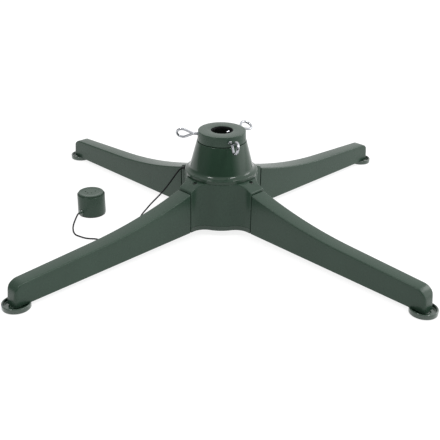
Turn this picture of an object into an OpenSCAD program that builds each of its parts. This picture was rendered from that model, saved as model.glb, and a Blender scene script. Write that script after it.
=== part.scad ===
// Rotating stand for an artificial tree.
// A round hub on four plug-in legs holds a small geared motor. The motor turns a pole socket, which
// rides on a thrust bearing and clamps the tree's pole with three eye bolts. A step-on switch lies on
// the floor at the end of a thin cord.
// Millimetres, +Z up from the floor, front is -Y, and the legs lie on the diagonals.

/* [Pole socket] */
// Diameter of the tree's pole
pole_d = 32; // [28:0.5:34]
// Room around the pole in the socket, on the diameter
pole_room = 1; // [0.6:0.1:1.4]
// Wall of the steel socket tube
tube_wall = 2.5; // [2:0.1:3]
// Thickness of the stop that closes the tube's foot
stop_t = 3; // [2:0.5:4]

/* [Heights] */
// Gap between the floor and the hub's underside
hub_clear = 10; // [9:0.5:14]
// Height of the base plate's side
base_h = 7; // [6:0.5:9]
// Height of the hub housing
hub_h = 68; // [66:1:90]
// Height of the cone cover
cone_h = 51; // [46:1:70]
// Running gap under the rotating collar
collar_gap = 1; // [0.6:0.1:2]
// Height of the rotating collar
collar_h = 15; // [13:0.5:20]

/* [Hub] */
// Radius of the hub's drum
hub_r = 56; // [55:0.5:62]
// Wall of the hub housing
hub_wall = 3; // [2.5:0.1:3.4]
// Thickness of the deck that carries the bearing
deck_t = 4; // [3:0.5:6]
// Distance from the centre to the end of an arm
arm_r = 76; // [74:0.5:90]
// Width of an arm
arm_w = 27; // [24:0.5:28]
// Height above the floor of an arm's outer end
arm_top = 76; // [75:0.5:78]
// Radius of the blend between drum and arm
blend_r = 24; // [14:1:28]
// Thickness of the base plate's floor
base_t = 3; // [2:0.5:4]

/* [Legs] */
// Distance from the centre to the middle of a foot
foot_reach = 370; // [300:5:420]
// How far a leg's end passes the middle of its foot
leg_past = 8; // [6:0.5:9]
// Width of a leg at its foot end
leg_w_foot = 21; // [18:0.5:22]
// Height of a leg's underside above the floor at its foot end
leg_lift = 6; // [6:0.5:8]
// Height of a leg at its foot end
leg_h_foot = 31; // [26:0.5:36]
// How far a leg's top lies below the arm's at the seam
leg_step = 2.8; // [0.4:0.2:3.4]
// Length of the straight taper at a leg's foot end
leg_flat = 135; // [90:5:150]
// Rise of the top along the straight taper
leg_flat_rise = 7; // [4:0.2:9]
// Radius of the rounded top corner at a leg's end
leg_nose_r = 17; // [10:0.5:18]
// Radius of the upright edges of a leg's end
leg_edge_r = 4; // [3:0.5:5]
// How far a leg's end face leans in over its height
leg_lean = 3.4; // [0:0.2:4]
// Wall of a leg's shell
leg_wall = 2.5; // [2:0.1:3]

/* [Feet] */
// Radius of a foot cup
foot_r = 19; // [17:0.5:22]
// Height of a foot cup's rim above the floor
foot_h = 8; // [7.5:0.5:11]
// Wall of a foot cup's rim
foot_rim = 2.4; // [1.8:0.2:3]
// Thickness of a rubber foot pad
pad_t = 2; // [1.5:0.25:2.5]

/* [Cone cover and collar] */
// Radius of the cone cover's flange
flange_r = 55.5; // [54:0.5:58]
// Radius of the cone cover at its top
cone_top_r = 37.7; // [36:0.5:40]
// Radius of the cone where the flare starts
cone_low_r = 48; // [47:0.5:49]
// Height of the flare's start above the deck
flare_h = 12; // [11:0.5:14]
// Radius of the flare
flare_r = 8; // [6:0.5:9]
// Wall of the cone cover
cone_wall = 2.6; // [2.2:0.1:3]
// Radius of the collar's top
collar_r = 36; // [34:0.5:37]
// How much wider the collar is at its foot
collar_draft = 1; // [0:0.2:1.4]
// Thickness of the collar's top web
collar_web = 4; // [4:0.5:5]

/* [Eye bolts] */
// Depth of the bolts' axis below the collar's top
bolt_drop = 8; // [7.5:0.5:9]
// Thread diameter of an eye bolt
bolt_d = 5; // [4:0.5:6]
// Diameter of the bent wire
eye_wire = 4; // [3.5:0.25:4.5]
// Radius of the loop along the wire's middle
eye_r = 8.5; // [7:0.25:9]
// Distance from the axis to the point where the loop leaves the shank
eye_neck = 44; // [43:0.5:48]
// Distance from the axis to the loop's outer end
eye_end = 70.5; // [69:0.5:76]
// Distance from the axis to the bolt's point at rest
bolt_tip = 12; // [11:0.5:15]

/* [Bearing and drive] */
// Height of the thrust bearing
bearing_h = 13; // [12:0.5:16]
// Width of the bearing's races
race_w = 10; // [9:0.5:11]
// Radius of a bearing ball
ball_r = 3.5; // [3:0.25:3.75]
// Number of balls in the bearing
ball_count = 18; // [12:1:19]
// Module of the gear teeth
gear_mod = 1; // [0.95:0.05:1]
// Teeth on the spindle gear
gear_teeth = 48; // [47:1:49]
// Teeth on the motor pinion
pinion_teeth = 16; // [15:1:17]
// Face width of the spindle gear
gear_w = 8; // [6:0.5:9]
// Radius of the motor's can
motor_r = 23; // [21:0.5:23.5]
// Height of the motor's can
motor_h = 22; // [18:0.5:22]
// Offset of the output shaft from the middle of the can
shaft_offset = 11; // [10:0.5:12]
// Diameter of the output shaft
shaft_d = 7; // [6:0.5:8]

/* [Foot switch] */
// Place of the switch on the floor, to the left of the hub's middle
switch_x = -207; // [-230:1:-190]
// Place of the switch on the floor, behind the hub's middle
switch_y = 23.5; // [0:0.5:40]
// Radius of the switch housing at its foot
switch_r = 22; // [21.5:0.5:25]
// Radius of the switch housing at its rim
switch_rim_r = 21.8; // [21.4:0.1:22]
// Height of the switch housing's rim above the floor
switch_rim_h = 34; // [31:0.5:40]
// Travel of the step-on cap
switch_travel = 2.5; // [1.5:0.5:3]
// Radius of the step-on cap
switch_cap_r = 20; // [18:0.2:20]
// Diameter of the cord
cord_d = 2.4; // [2:0.1:2.8]

/* [Hidden] */
$fn = 96;

// Clearances
over = 1;            // how far a cut runs past a face
run_fit = 0.05;      // radial clearance of a running or pressed round fit
slide_gap = 0.3;     // gap between pieces that slide or plug together
screw_fit = 0.1;     // radial clearance of a screw in its pilot hole

// Colours
green = [0.17, 0.25, 0.19];
dark_green = [0.13, 0.2, 0.15];
steel = [0.72, 0.73, 0.75];
bright = [0.85, 0.86, 0.88];
bronze = [0.62, 0.47, 0.25];
black = [0.07, 0.07, 0.07];
white_plastic = [0.85, 0.85, 0.82];
brass = [0.72, 0.58, 0.28];

// Where the legs and the bolts point, in the order of their names
leg_az = [225, 315, 45, 135];
bolt_az = [174, -71, 50];
bolt_lean = [28, 14, 63];
bolt_out = [0, 1, -1];

// Levels, from the floor up
base_z = hub_clear;
hub_z = base_z + base_h;
deck_z = hub_z + hub_h;
cone_z = deck_z + cone_h;
collar_z = cone_z + collar_gap;
top_z = collar_z + collar_h;
bolt_z = top_z - bolt_drop;

// Arms and leg sockets
arm_half = arm_w / 2;
socket_half = arm_half - hub_wall;
socket_in = hub_r - 2 * hub_wall;
rib_t = 2.5;
socket_low = hub_z + rib_t;
rim_step = 0.4;
blend_bite = 0.02;
boss_bite = 1.5;
socket_high = arm_top - 2 * hub_wall;
slope_start = hub_r;
arm_slope = (deck_z - arm_top) / (arm_r - slope_start);
function arm_z(u) = deck_z - arm_slope * (u - slope_start);
lock_u = slope_start + 3.2;
lock_r = 1.9;
lock_head_r = 2.9;
lock_head_h = 2.2;
lock_boss_r = 4;
lead_way = 2.5;
lock_v = socket_half - lead_way - lock_boss_r;
lock_len = 26;

// Screws of the base and the cone cover, between the arms
base_screw_az = [20, 110, 200, 290];
cone_screw_az = [0, 90, 180, 270];
screw_r = 1.9;
screw_head_r = 3.6;
screw_head_h = 2.4;
boss_r = 4.2;
base_screw_at = hub_r - hub_wall - boss_r + 0.7;
base_screw_len = 18;
cone_screw_at = cone_low_r - cone_wall - boss_r - 0.4;
cone_screw_len = 12;
cone_boss_h = 18;

// Leg profile: a straight taper at the foot end, then a hollow arc up to the arm
leg_start = arm_r + slide_gap;
leg_end = foot_reach + leg_past;
leg_zs = base_z;
leg_top_end = leg_lift + leg_h_foot;
leg_knee = [leg_end - leg_flat, leg_top_end + leg_flat_rise];
leg_top_start = [leg_start, arm_top - leg_step];
leg_fall = leg_flat_rise / leg_flat;
leg_normal = [leg_fall, 1] / norm([leg_fall, 1]);
leg_chord = leg_top_start - leg_knee;
leg_arc_r = leg_chord * leg_chord / (2 * (leg_chord * leg_normal));
leg_arc_c = leg_knee + leg_arc_r * leg_normal;
leg_foot_end = [leg_end, leg_lift];
leg_end_normal = [leg_h_foot, leg_lean] / norm([leg_h_foot, leg_lean]);
function leg_half(u) = (arm_w + (leg_w_foot - arm_w) * (u - leg_start) / (leg_end - leg_start)) / 2;
function leg_side_normal(s) =
    let (fall = (leg_half(leg_start) - leg_half(leg_end)) / (leg_end - leg_start))
    [fall, s] / norm([fall, s]);
function leg_under(u) = leg_zs + (leg_lift - leg_zs) * (u - leg_start) / (leg_end - leg_start);
tongue_half = socket_half - slide_gap;
tongue_in = socket_in + rib_t + slide_gap;
cover_t = 2.2;
foot_boss_r = 4;
foot_boss_h = 16;
foot_screw_r = 1.75;
foot_screw_head_r = 3.4;
foot_screw_head_h = 2;

// Foot cup
cup_low = pad_t / 2;
cup_floor = pad_t + 1.6;
cup_boss_r = 7.5;
cup_boss_z = leg_lift - 0.1;
pad_r = foot_r - foot_rim - 0.6;

// Pole socket
bore_r = (pole_d + pole_room) / 2;
tube_r = bore_r + tube_wall;
bore_relief = 0.3;
stop_ledge = 0.5;
lip_r = bore_r + 0.5;
tube_top = top_z - collar_web;
relief_z = bolt_z - 7;
bush_t = 3;
bush_flange = 3;

// Motor and gears
motor_gap = 2;
motor_z = base_z + base_t + motor_gap;
plate_t = 2;
motor_top = motor_z + motor_h + plate_t;
shaft_x = gear_mod * (gear_teeth + pinion_teeth) / 2;
can_x = shaft_x - shaft_offset;
shaft_r = shaft_d / 2;
shaft_boss_h = 2;
ear_y = motor_r + 5;
ear_r = 4.5;
motor_screw_r = 1.5;
motor_post_r = 4;
tube_low = motor_top + 1.2;
clip_z = tube_low + 0.8;
clip_t = 1.2;
clip_groove = 0.6;
gear_z = clip_z + clip_t + 0.1;
gear_root_r = gear_mod * (gear_teeth / 2 - 1.25);
washer_t = 1.7;
shoulder_z = gear_z + gear_w + washer_t;
shoulder_t = 3;
shoulder_r = tube_r + 4;
pinion_low = motor_top + shaft_boss_h + 0.5;
pinion_high = gear_z + gear_w;
shaft_flat = shaft_r - 0.6;
tooth_play = 0.25;

// Thrust bearing on the deck
seat_depth = 1;
race_z = deck_z - seat_depth;
race_t = (bearing_h - 4) / 2;
race_in = tube_r + 1;
race_out = race_in + race_w;
ball_mid = race_z + bearing_h / 2;
ball_ring = (race_in + race_out) / 2;
groove_r = ball_r + 0.1;
cage_t = 2;
cage_play = 0.2;
flange_z = race_z + bearing_h;
thrust_t = 3;

// Cone cover: straight side, then a flare that ends on the flange's shoulder
cone_tilt = atan((cone_low_r - cone_top_r) / (cone_h - flare_h));
flare_c = [cone_low_r, deck_z + flare_h] + flare_r * [cos(cone_tilt), sin(cone_tilt)];
flare_end = 250;
flange_edge = 1;
flange_shoulder = deck_z + 4.6;

// Collar
collar_skirt = 3;
collar_sleeve = 4;
nut_w = 8;
nut_t = 4;
nut_at = 28;
nut_play = 0.15;
bolt_r = bolt_d / 2;
bolt_hole_r = bolt_r + 0.15;
bolt_block_w = nut_w + 5;
thread_end = eye_neck - 1.5;
wire_r = eye_wire / 2;
eye_mid = eye_end - wire_r - eye_r;
eye_sweep = 180 - acos(eye_r / (eye_mid - eye_neck));

// Low-voltage inlet in the back of the hub
jack_z = hub_z + 16;
jack_r = 5.5;
jack_pad_r = 9;
jack_pad_y = hub_r + 1.5;
jack_flange_r = 7.5;
jack_flange_t = 1.8;
jack_len = 15;
jack_bore_r = 2.8;
jack_bore_deep = 11;
jack_pin_r = 1.05;
jack_nut_t = 2.5;

// Where the switch cord leaves the rear left arm
gland_u = arm_r - 6.6;
gland_z = arm_top - 2;
gland_r = 1.85;
gland_flange_r = 2.8;
gland_out = 3;
gland_tip_r = 1.7;

// Step-on switch
switch_pad_t = 1.5;
switch_base_t = 2.5;
switch_proud = switch_travel;
switch_cap_z = switch_rim_h + switch_proud;
switch_cap_t = 2.5;
switch_skirt_t = 2;
switch_bore_r = switch_cap_r + slide_gap;
switch_ledge_t = 2;
switch_ledge_z = switch_rim_h - 6;
switch_skirt_r = switch_cap_r - 2.1;
switch_lip_z = switch_ledge_z - switch_ledge_t - 0.1;
switch_lip_t = 2;
switch_floor = switch_pad_t + switch_base_t;
contact_w = 11;
contact_h = 14;
plunger_r = 2.5;
spring_ring = 10.5;
spring_wire_r = 0.6;
spring_turns = 6;
spring_steps = 8;
spring_sides = 6;
spring_low = switch_floor + spring_wire_r + 0.05;
spring_high = switch_cap_z - switch_cap_t - spring_wire_r - 0.05;
spring_pitch = (spring_high - spring_low) / spring_turns;
switch_screw_az = [-70, 50, 170];
switch_boss_r = 3.8;
switch_screw_at = switch_bore_r + 0.3 - switch_boss_r;
switch_screw_r = 1.2;
switch_screw_head_r = 2.4;
switch_screw_head_h = 1.4;
switch_boss_h = 10;
switch_gland_az = -130;
switch_gland_z = 7.5;
switch_gland_r = 2.4;
switch_boot_r = 5;
switch_boot_h = 1.6;
switch_boot_seat = switch_r - 0.9;
switch_gland_out = 5;
switch_gland_tip_r = 1.8;
dimple_r = 1.2;
dimple_deep = 0.6;
dimples = [[-9, 1.7], [-4.8, -4.2], [1.6, -3.8], [6.7, 3.4]];

// A point on the rear left arm, u along it and v to its front left side
function rear_left(u, v, z) =
    [u * cos(leg_az[3]) - v * sin(leg_az[3]), u * sin(leg_az[3]) + v * cos(leg_az[3]), z];

// Route of the cord, from the hub's gland to the switch's
cord_start = rear_left(gland_u, arm_half + gland_out, gland_z);
switch_gland_tip = [
    switch_x + (switch_r + switch_gland_out) * cos(switch_gland_az),
    switch_y + (switch_r + switch_gland_out) * sin(switch_gland_az),
    switch_gland_z
];
cord_points = [
    cord_start,
    cord_start + [-1.6, -1.6, -0.2],
    [-66.4, 33.6, 72.1], [-73.3, 32, 62.9], [-81.2, 31, 51.4], [-89.3, 30.2, 40.2], [-97.5, 29.4, 30.4],
    [-112, 27.6, 15], [-119.4, 25, 6.6], [-124.4, 20, 2.2], [-127, 10, 1.4], [-128.5, -6, 1.4],
    [-131, -25, 1.4], [-141, -44, 1.4], [-152, -61, 1.4], [-163, -73, 1.4], [-172, -76.5, 1.4],
    [-180, -74.5, 1.4], [-188, -71.5, 1.4], [-196.2, -70.8, 1.4], [-204, -69, 1.4],
    [-213, -63.8, 1.4], [-219.4, -59, 1.4], [-224.3, -49.8, 1.4], [-227.6, -36.3, 1.4],
    [-228.9, -22.5, 1.4], [-228.6, -10, 2.4], [-227.2, -3, 5.2],
    switch_gland_tip + 2 * [cos(switch_gland_az), sin(switch_gland_az), -0.1],
    switch_gland_tip
];
cord_sides = 8;

// Routes of the leads inside the hub
lead_r = 0.9;
lead_sides = 6;
lead_v = socket_half - lead_way / 2;
block_x = -38;
block_size = [14, 22, 9];
block_top = base_z + base_t + block_size[2];
lead_routes = [
    [rear_left(gland_u, socket_half - 1, gland_z), rear_left(gland_u - 1.2, lead_v, gland_z),
     rear_left(hub_r - 2, lead_v, gland_z), rear_left(hub_r - 11, lead_v - 4, gland_z - 1.5),
     [-34, 25, 60], [-38, 15, 42],
     [block_x, 7, block_top + 6], [block_x, 7, block_top]],
    [[0, jack_pad_y - jack_len, jack_z], [0, jack_pad_y - jack_len - 4, jack_z],
     [-13, 33, 34], [-28, 18, 34], [block_x, 0, block_top + 8], [block_x, 0, block_top]],
    [[can_x - motor_r, 0, motor_z + 14], [can_x - motor_r - 4, 0, motor_z + 14],
     [-18, -4, 34], [-30, -7, 34], [block_x, -7, block_top + 7], [block_x, -7, block_top]]
];

// ---- helpers ----

// A tube with straight sides, between two heights
module ring(r_out, r_in, z0, z1) {
    translate([0, 0, z0]) difference() {
        cylinder(r = r_out, h = z1 - z0);
        translate([0, 0, -over]) cylinder(r = r_in, h = z1 - z0 + 2 * over);
    }
}

module disc(r, z0, z1) {
    translate([0, 0, z0]) cylinder(r = r, h = z1 - z0);
}

// A box around the X axis, between two distances and two heights
module bar(u0, u1, half, z0, z1) {
    translate([u0, -half, z0]) cube([u1 - u0, 2 * half, z1 - z0]);
}

module at_base_screws() {
    for (a = base_screw_az) rotate([0, 0, a]) translate([base_screw_at, 0, 0]) children();
}

module at_cone_screws() {
    for (a = cone_screw_az) rotate([0, 0, a]) translate([cone_screw_at, 0, 0]) children();
}

module at_leg(i) {
    rotate([0, 0, leg_az[i]]) children();
}

// A screw that stands head down, with its head's underside at z = 0
module screw_up(r, length, head_r, head_h) {
    translate([0, 0, -head_h]) cylinder(r = head_r, h = head_h);
    cylinder(r = r, h = length);
}

// Points of an arc, from angle a0 to a1
function arc(c, r, a0, a1, n) = [for (i = [0:n]) c + r * [cos(a0 + (a1 - a0) * i / n), sin(a0 + (a1 - a0) * i / n)]];

// A smooth route through points, with a few steps between each pair
function smooth(p, steps) = concat(
    [for (i = [0:len(p) - 2]) for (k = [0:steps - 1])
        let (t = k / steps, a = p[max(i - 1, 0)], b = p[i], c = p[i + 1], d = p[min(i + 2, len(p) - 1)])
        b + 0.5 * t * (c - a) + t * t * (a - 2.5 * b + 2 * c - 0.5 * d) + t * t * t * (-0.5 * a + 1.5 * b - 1.5 * c + 0.5 * d)],
    [p[len(p) - 1]]
);

function unit(v) = v / norm(v);
function heading(p, i) = i == 0 ? unit(p[1] - p[0])
    : i == len(p) - 1 ? unit(p[i] - p[i - 1]) : unit(p[i + 1] - p[i - 1]);

// One side vector per ring, each carried on from the one before it so that the tube doesn't twist
function sides_along(p, i = 0, last = [0, 0, 1]) =
    let (t = heading(p, i), s = unit(last - (last * t) * t))
    i == len(p) - 1 ? [s] : concat([s], sides_along(p, i + 1, s));

// A round tube swept along a route, as one closed polyhedron
module swept(p, r, n) {
    side = sides_along(p);
    points = [for (i = [0:len(p) - 1]) for (k = [0:n - 1])
        let (t = heading(p, i), s = side[i], b = cross(t, s))
        p[i] + r * (cos(360 * k / n) * s + sin(360 * k / n) * b)];
    last = (len(p) - 1) * n;
    walls = [for (i = [0:len(p) - 2]) for (k = [0:n - 1]) for (f = [0, 1])
        let (a = i * n + k, b = i * n + (k + 1) % n)
        f == 0 ? [a, b + n, b] : [a, a + n, b + n]];
    near = [for (k = [1:n - 2]) [0, k, k + 1]];
    far = [for (k = [1:n - 2]) [last, last + k + 1, last + k]];
    polyhedron(points = points, faces = concat(walls, near, far));
}

// Involute gear outline with a little play between the teeth
function involute(a) = tan(a) - a * PI / 180;
function tooth_half(r, teeth) =
    let (base = gear_mod * teeth / 2 * cos(20))
    90 / teeth + (involute(20) - involute(acos(min(1, base / r)))) * 180 / PI
    - tooth_play / (gear_mod * teeth) * 90 / PI;
function gear_outline(teeth) =
    let (root = gear_mod * (teeth / 2 - 1.25), tip = gear_mod * (teeth / 2 + 1),
         low = max(root + 0.1 * gear_mod, gear_mod * teeth / 2 * cos(20)), n = 3)
    [for (k = [0:teeth - 1]) let (mid = 360 * k / teeth) for (j = [0:2 * n + 3])
        let (side = j <= n + 1 ? -1 : 1,
             step = j <= n + 1 ? j - 1 : 2 * n + 2 - j,
             r = step < 0 ? root : low + (tip - low) * step / n,
             a = mid + side * tooth_half(max(r, low), teeth))
        r * [cos(a), sin(a)]];

// ---- hub ----

// Outline of the hub: a round drum with four arms and hollow blends between them
module hub_outline(inset = 0) {
    blend_v = arm_half + blend_r;
    blend_u = sqrt(pow(hub_r + blend_r, 2) - pow(blend_v, 2));
    touch = (hub_r - inset) / (hub_r + blend_r);
    circle(r = hub_r - inset);
    for (a = leg_az) rotate(a) {
        translate([0, inset - arm_half]) square([arm_r - inset, arm_w - 2 * inset]);
        for (s = [-1, 1]) intersection() {
            difference() {
                polygon([[0, 0], [blend_u, 0], [blend_u, s * (arm_half - inset)],
                         [blend_u, s * blend_v], touch * [blend_u, s * blend_v]]);
                translate([blend_u, s * blend_v]) circle(r = blend_r + inset + blend_bite);
            }
            translate([0, -blend_v]) square([arm_r - inset, 2 * blend_v]);
        }
    }
}

// Everything above a plane that falls outwards along an arm, lowered by drop
module above_slope(drop) {
    z0 = arm_z(slope_start) - drop;
    z1 = arm_z(arm_r + over) - drop;
    translate([0, arm_w * 1.5, 0]) rotate([90, 0, 0]) linear_extrude(arm_w * 3)
        polygon([[slope_start, z0], [arm_r + over, z1], [arm_r + over, deck_z + over], [slope_start, deck_z + over]]);
}

// The hollow of one arm, under its sloping top
module arm_hollow() {
    translate([0, socket_half, 0]) rotate([90, 0, 0]) linear_extrude(2 * socket_half)
        polygon([[socket_in, hub_z - over], [arm_r - hub_wall, hub_z - over],
                 [arm_r - hub_wall, arm_z(arm_r - hub_wall) - hub_wall],
                 [slope_start, deck_z - hub_wall - 1], [socket_in, deck_z - hub_wall - 1]]);
}

// Floor, ceiling and inner end of one leg socket
module leg_socket() {
    difference() {
        bar(socket_in, arm_r - 0.5, arm_half - 0.5, hub_z + rim_step, socket_high + rib_t);
        bar(socket_in + rib_t, arm_r + over, socket_half, socket_low, socket_high);
    }
    intersection() {
        translate([lock_u, lock_v, 0]) disc(lock_boss_r, socket_high + 0.5, deck_z - boss_bite);
        difference() {
            bar(socket_in, arm_r, arm_half, socket_high, deck_z);
            above_slope(boss_bite);
        }
    }
}

module leg_socket_cuts() {
    bar(arm_r - hub_wall - over, arm_r + over, socket_half, socket_low, socket_high);
    translate([lock_u, lock_v, 0]) {
        disc(lock_r + screw_fit, socket_high - over, deck_z + over);
        disc(lock_head_r + 0.3, arm_z(lock_u) - lock_head_h, deck_z + over);
    }
}

module jack_place() {
    translate([0, jack_pad_y, jack_z]) rotate([-90, 0, 0]) children();
}

module gland_place() {
    rotate([0, 0, leg_az[3]]) translate([gland_u, arm_half, gland_z]) rotate([-90, 0, 0]) children();
}

module hub_housing() {
    color(green) difference() {
        union() {
            difference() {
                translate([0, 0, hub_z]) linear_extrude(hub_h) hub_outline();
                for (i = [0:3]) at_leg(i) {
                    above_slope(0);
                    arm_hollow();
                }
                disc(hub_r - hub_wall, hub_z - over, deck_z - deck_t);
            }
            for (i = [0:3]) at_leg(i) leg_socket();
            at_base_screws() disc(boss_r, hub_z + rim_step, deck_z - deck_t + boss_bite);
            jack_place() disc(jack_pad_r, -hub_wall - 3, 0);
        }
        for (i = [0:3]) at_leg(i) leg_socket_cuts();
        disc(tube_r + bush_t + 2 * run_fit, deck_z - deck_t - over, deck_z + over);
        disc(race_out + run_fit, race_z, deck_z + over);
        at_base_screws() disc(screw_r + screw_fit, hub_z - over, hub_z + base_screw_len);
        at_cone_screws() disc(screw_r + screw_fit, deck_z - deck_t - over, deck_z + over);
        jack_place() disc(jack_r + screw_fit, -jack_len, over);
        gland_place() {
            disc(gland_r + run_fit, -hub_wall - over, over);
            disc(gland_flange_r + 0.3, 0, gland_out);
        }
    }
}

module base_plate() {
    color(dark_green) difference() {
        union() {
            difference() {
                translate([0, 0, base_z]) linear_extrude(base_h) hub_outline();
                translate([0, 0, base_z + base_t]) linear_extrude(base_h) hub_outline(hub_wall);
            }
            at_base_screws() disc(boss_r, base_z + 0.5, hub_z - rim_step);
            for (s = [-1, 1]) translate([can_x, s * ear_y, 0]) disc(motor_post_r, base_z + 1, motor_top - plate_t);
        }
        at_base_screws() {
            disc(screw_r + screw_fit, base_z - over, hub_z + over);
            disc(screw_head_r + 0.3, base_z - over, base_z + screw_head_h + 0.2);
        }
        for (s = [-1, 1]) translate([can_x, s * ear_y, 0])
            disc(motor_screw_r + screw_fit, motor_top - plate_t - 13, motor_top);
    }
}

module base_screws() {
    color(steel) at_base_screws() translate([0, 0, base_z + screw_head_h + 0.2])
        screw_up(screw_r, base_screw_len, screw_head_r, screw_head_h);
}

module deck_bush() {
    color(bronze) {
        ring(tube_r + run_fit + bush_t, tube_r + run_fit, deck_z - deck_t, race_z);
        ring(tube_r + bush_t + bush_flange, tube_r + run_fit, deck_z - deck_t - bush_flange, deck_z - deck_t);
    }
}

module dc_jack() {
    color(black) jack_place() difference() {
        union() {
            disc(jack_r, -jack_len, jack_flange_t / 2);
            disc(jack_flange_r, 0, jack_flange_t);
        }
        difference() {
            disc(jack_bore_r, jack_flange_t - jack_bore_deep, jack_flange_t + over);
            disc(jack_pin_r, jack_flange_t - jack_bore_deep - over, jack_flange_t - 1.5);
        }
    }
}

module jack_nut() {
    low = -hub_wall - 3 - jack_nut_t;
    color(steel) jack_place() difference() {
        translate([0, 0, low]) cylinder(r = jack_flange_r, h = jack_nut_t, $fn = 6);
        disc(jack_r + run_fit, low - over, low + jack_nut_t + over);
    }
}

module cord_gland() {
    color(black) gland_place() difference() {
        union() {
            disc(gland_r, -hub_wall, 0);
            disc(gland_flange_r, 0, 1);
            translate([0, 0, 1]) cylinder(r1 = gland_flange_r, r2 = gland_tip_r, h = gland_out - 1);
        }
        disc(cord_d / 2, -hub_wall - over, gland_out - 1);
    }
}

// ---- legs and feet ----

// The point where two lines meet, each given by its normal and its distance from the origin
function meet(n, a, m, b) = [a * m[1] - b * n[1], b * n[0] - a * m[0]] / (n[0] * m[1] - n[1] * m[0]);

// What a round corner of radius r takes off the corner between two lines with outward normals n and m
module corner_waste(c, n, m, r) {
    difference() {
        polygon([c, c + (r + over) * n, c + (r + over) * (n + m), c + (r + over) * m]);
        translate(c) circle(r = r);
    }
}

// Side view of a leg, with every face but the underside moved in by inset
module leg_side(inset, under) {
    n = leg_normal;
    m = leg_end_normal;
    top = leg_knee * n;
    end = leg_foot_end * m;
    near = leg_start + inset;
    near_z = leg_arc_c[1] - sqrt(pow(leg_arc_r + inset, 2) - pow(leg_arc_c[0] - near, 2));
    low_z = leg_lift + under;
    difference() {
        polygon([[near, leg_under(near) + under], meet([0, 1], low_z, m, end - inset),
                 meet(n, top - inset, m, end - inset), leg_knee - inset * n, [near, near_z]]);
        translate(leg_arc_c) circle(r = leg_arc_r + inset, $fn = 360);
        corner_waste(meet(n, top - leg_nose_r, m, end - leg_nose_r), n, m, leg_nose_r - inset);
    }
}

// Plan of a leg, with every face moved in by inset
module leg_plan(inset) {
    half_near = leg_half(leg_start) - inset;
    half_far = leg_half(leg_end) - inset;
    far = leg_end - inset;
    difference() {
        polygon([[leg_start, -half_near], [far, -half_far], [far, half_far], [leg_start, half_near]]);
        for (s = [-1, 1]) {
            n = leg_side_normal(s);
            side = [leg_start, s * leg_half(leg_start)] * n;
            corner_waste(meet([1, 0], leg_end - leg_edge_r, n, side - leg_edge_r), [1, 0], n, leg_edge_r - inset);
        }
    }
}

// A leg's block: its side view, cut to a plan that tapers towards the foot
module leg_block(inset, under) {
    intersection() {
        translate([0, arm_w, 0]) rotate([90, 0, 0]) linear_extrude(2 * arm_w) leg_side(inset, under);
        linear_extrude(arm_top + over) leg_plan(inset);
    }
}

module leg(i) {
    color(green) at_leg(i) {
        difference() {
            union() {
                difference() {
                    leg_block(0, 0);
                    leg_block(leg_wall, -over);
                }
                translate([foot_reach, 0, 0]) intersection() {
                    disc(foot_boss_r, leg_lift - over, leg_lift + foot_boss_h);
                    translate([-foot_reach, 0, 0]) leg_block(0.5, 0);
                }
                bar(tongue_in, leg_start + leg_wall / 2, tongue_half, socket_low + slide_gap, socket_high - slide_gap);
            }
            translate([foot_reach, 0, 0]) disc(foot_screw_r + screw_fit, leg_lift - over, leg_lift + foot_boss_h - 2);
            translate([lock_u, lock_v, 0])
                disc(lock_r + screw_fit, arm_z(lock_u) - lock_head_h - lock_len - 2, socket_high);
        }
    }
}

// The strip that closes a leg's underside
module leg_cover(i) {
    near = leg_start + leg_wall + slide_gap;
    far = foot_reach - foot_boss_r - slide_gap;
    gap = leg_wall + slide_gap;
    color(dark_green) at_leg(i) intersection() {
        translate([0, arm_w, 0]) rotate([90, 0, 0]) linear_extrude(2 * arm_w) polygon([
            [near, leg_under(near)], [far, leg_under(far)],
            [far, leg_under(far) + cover_t], [near, leg_under(near) + cover_t]]);
        linear_extrude(arm_top) polygon([
            [near, gap - leg_half(near)], [far, gap - leg_half(far)],
            [far, leg_half(far) - gap], [near, leg_half(near) - gap]]);
    }
}

module leg_lock_screws() {
    color(steel) for (i = [0:3]) at_leg(i) translate([lock_u, lock_v, arm_z(lock_u) - lock_head_h]) {
        cylinder(r = lock_head_r, h = lock_head_h - 0.3);
        translate([0, 0, -lock_len]) cylinder(r = lock_r, h = lock_len);
    }
}

module foot_cup(i) {
    notch_half = leg_half(foot_reach - foot_r) + 0.4;
    color(green) at_leg(i) translate([foot_reach, 0, 0]) difference() {
        union() {
            ring(foot_r, foot_r - foot_rim, cup_low, foot_h);
            ring(foot_r - 0.5, foot_screw_r + screw_fit, pad_t, cup_floor);
            ring(cup_boss_r, foot_screw_r + screw_fit, pad_t, cup_boss_z);
        }
        bar(-foot_r - over, -cup_boss_r, notch_half, leg_under(foot_reach - foot_r) - 0.3, foot_h + over);
        disc(foot_screw_head_r + 0.2, 0, pad_t + foot_screw_head_h);
    }
}

module foot_pad(i) {
    color(black) at_leg(i) translate([foot_reach, 0, 0]) disc(pad_r, 0, pad_t);
}

module foot_screws() {
    color(steel) for (i = [0:3]) at_leg(i) translate([foot_reach, 0, pad_t + foot_screw_head_h])
        screw_up(foot_screw_r, foot_boss_h - 1, foot_screw_head_r, foot_screw_head_h - 0.1);
}

// ---- cone cover and bearing ----

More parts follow.
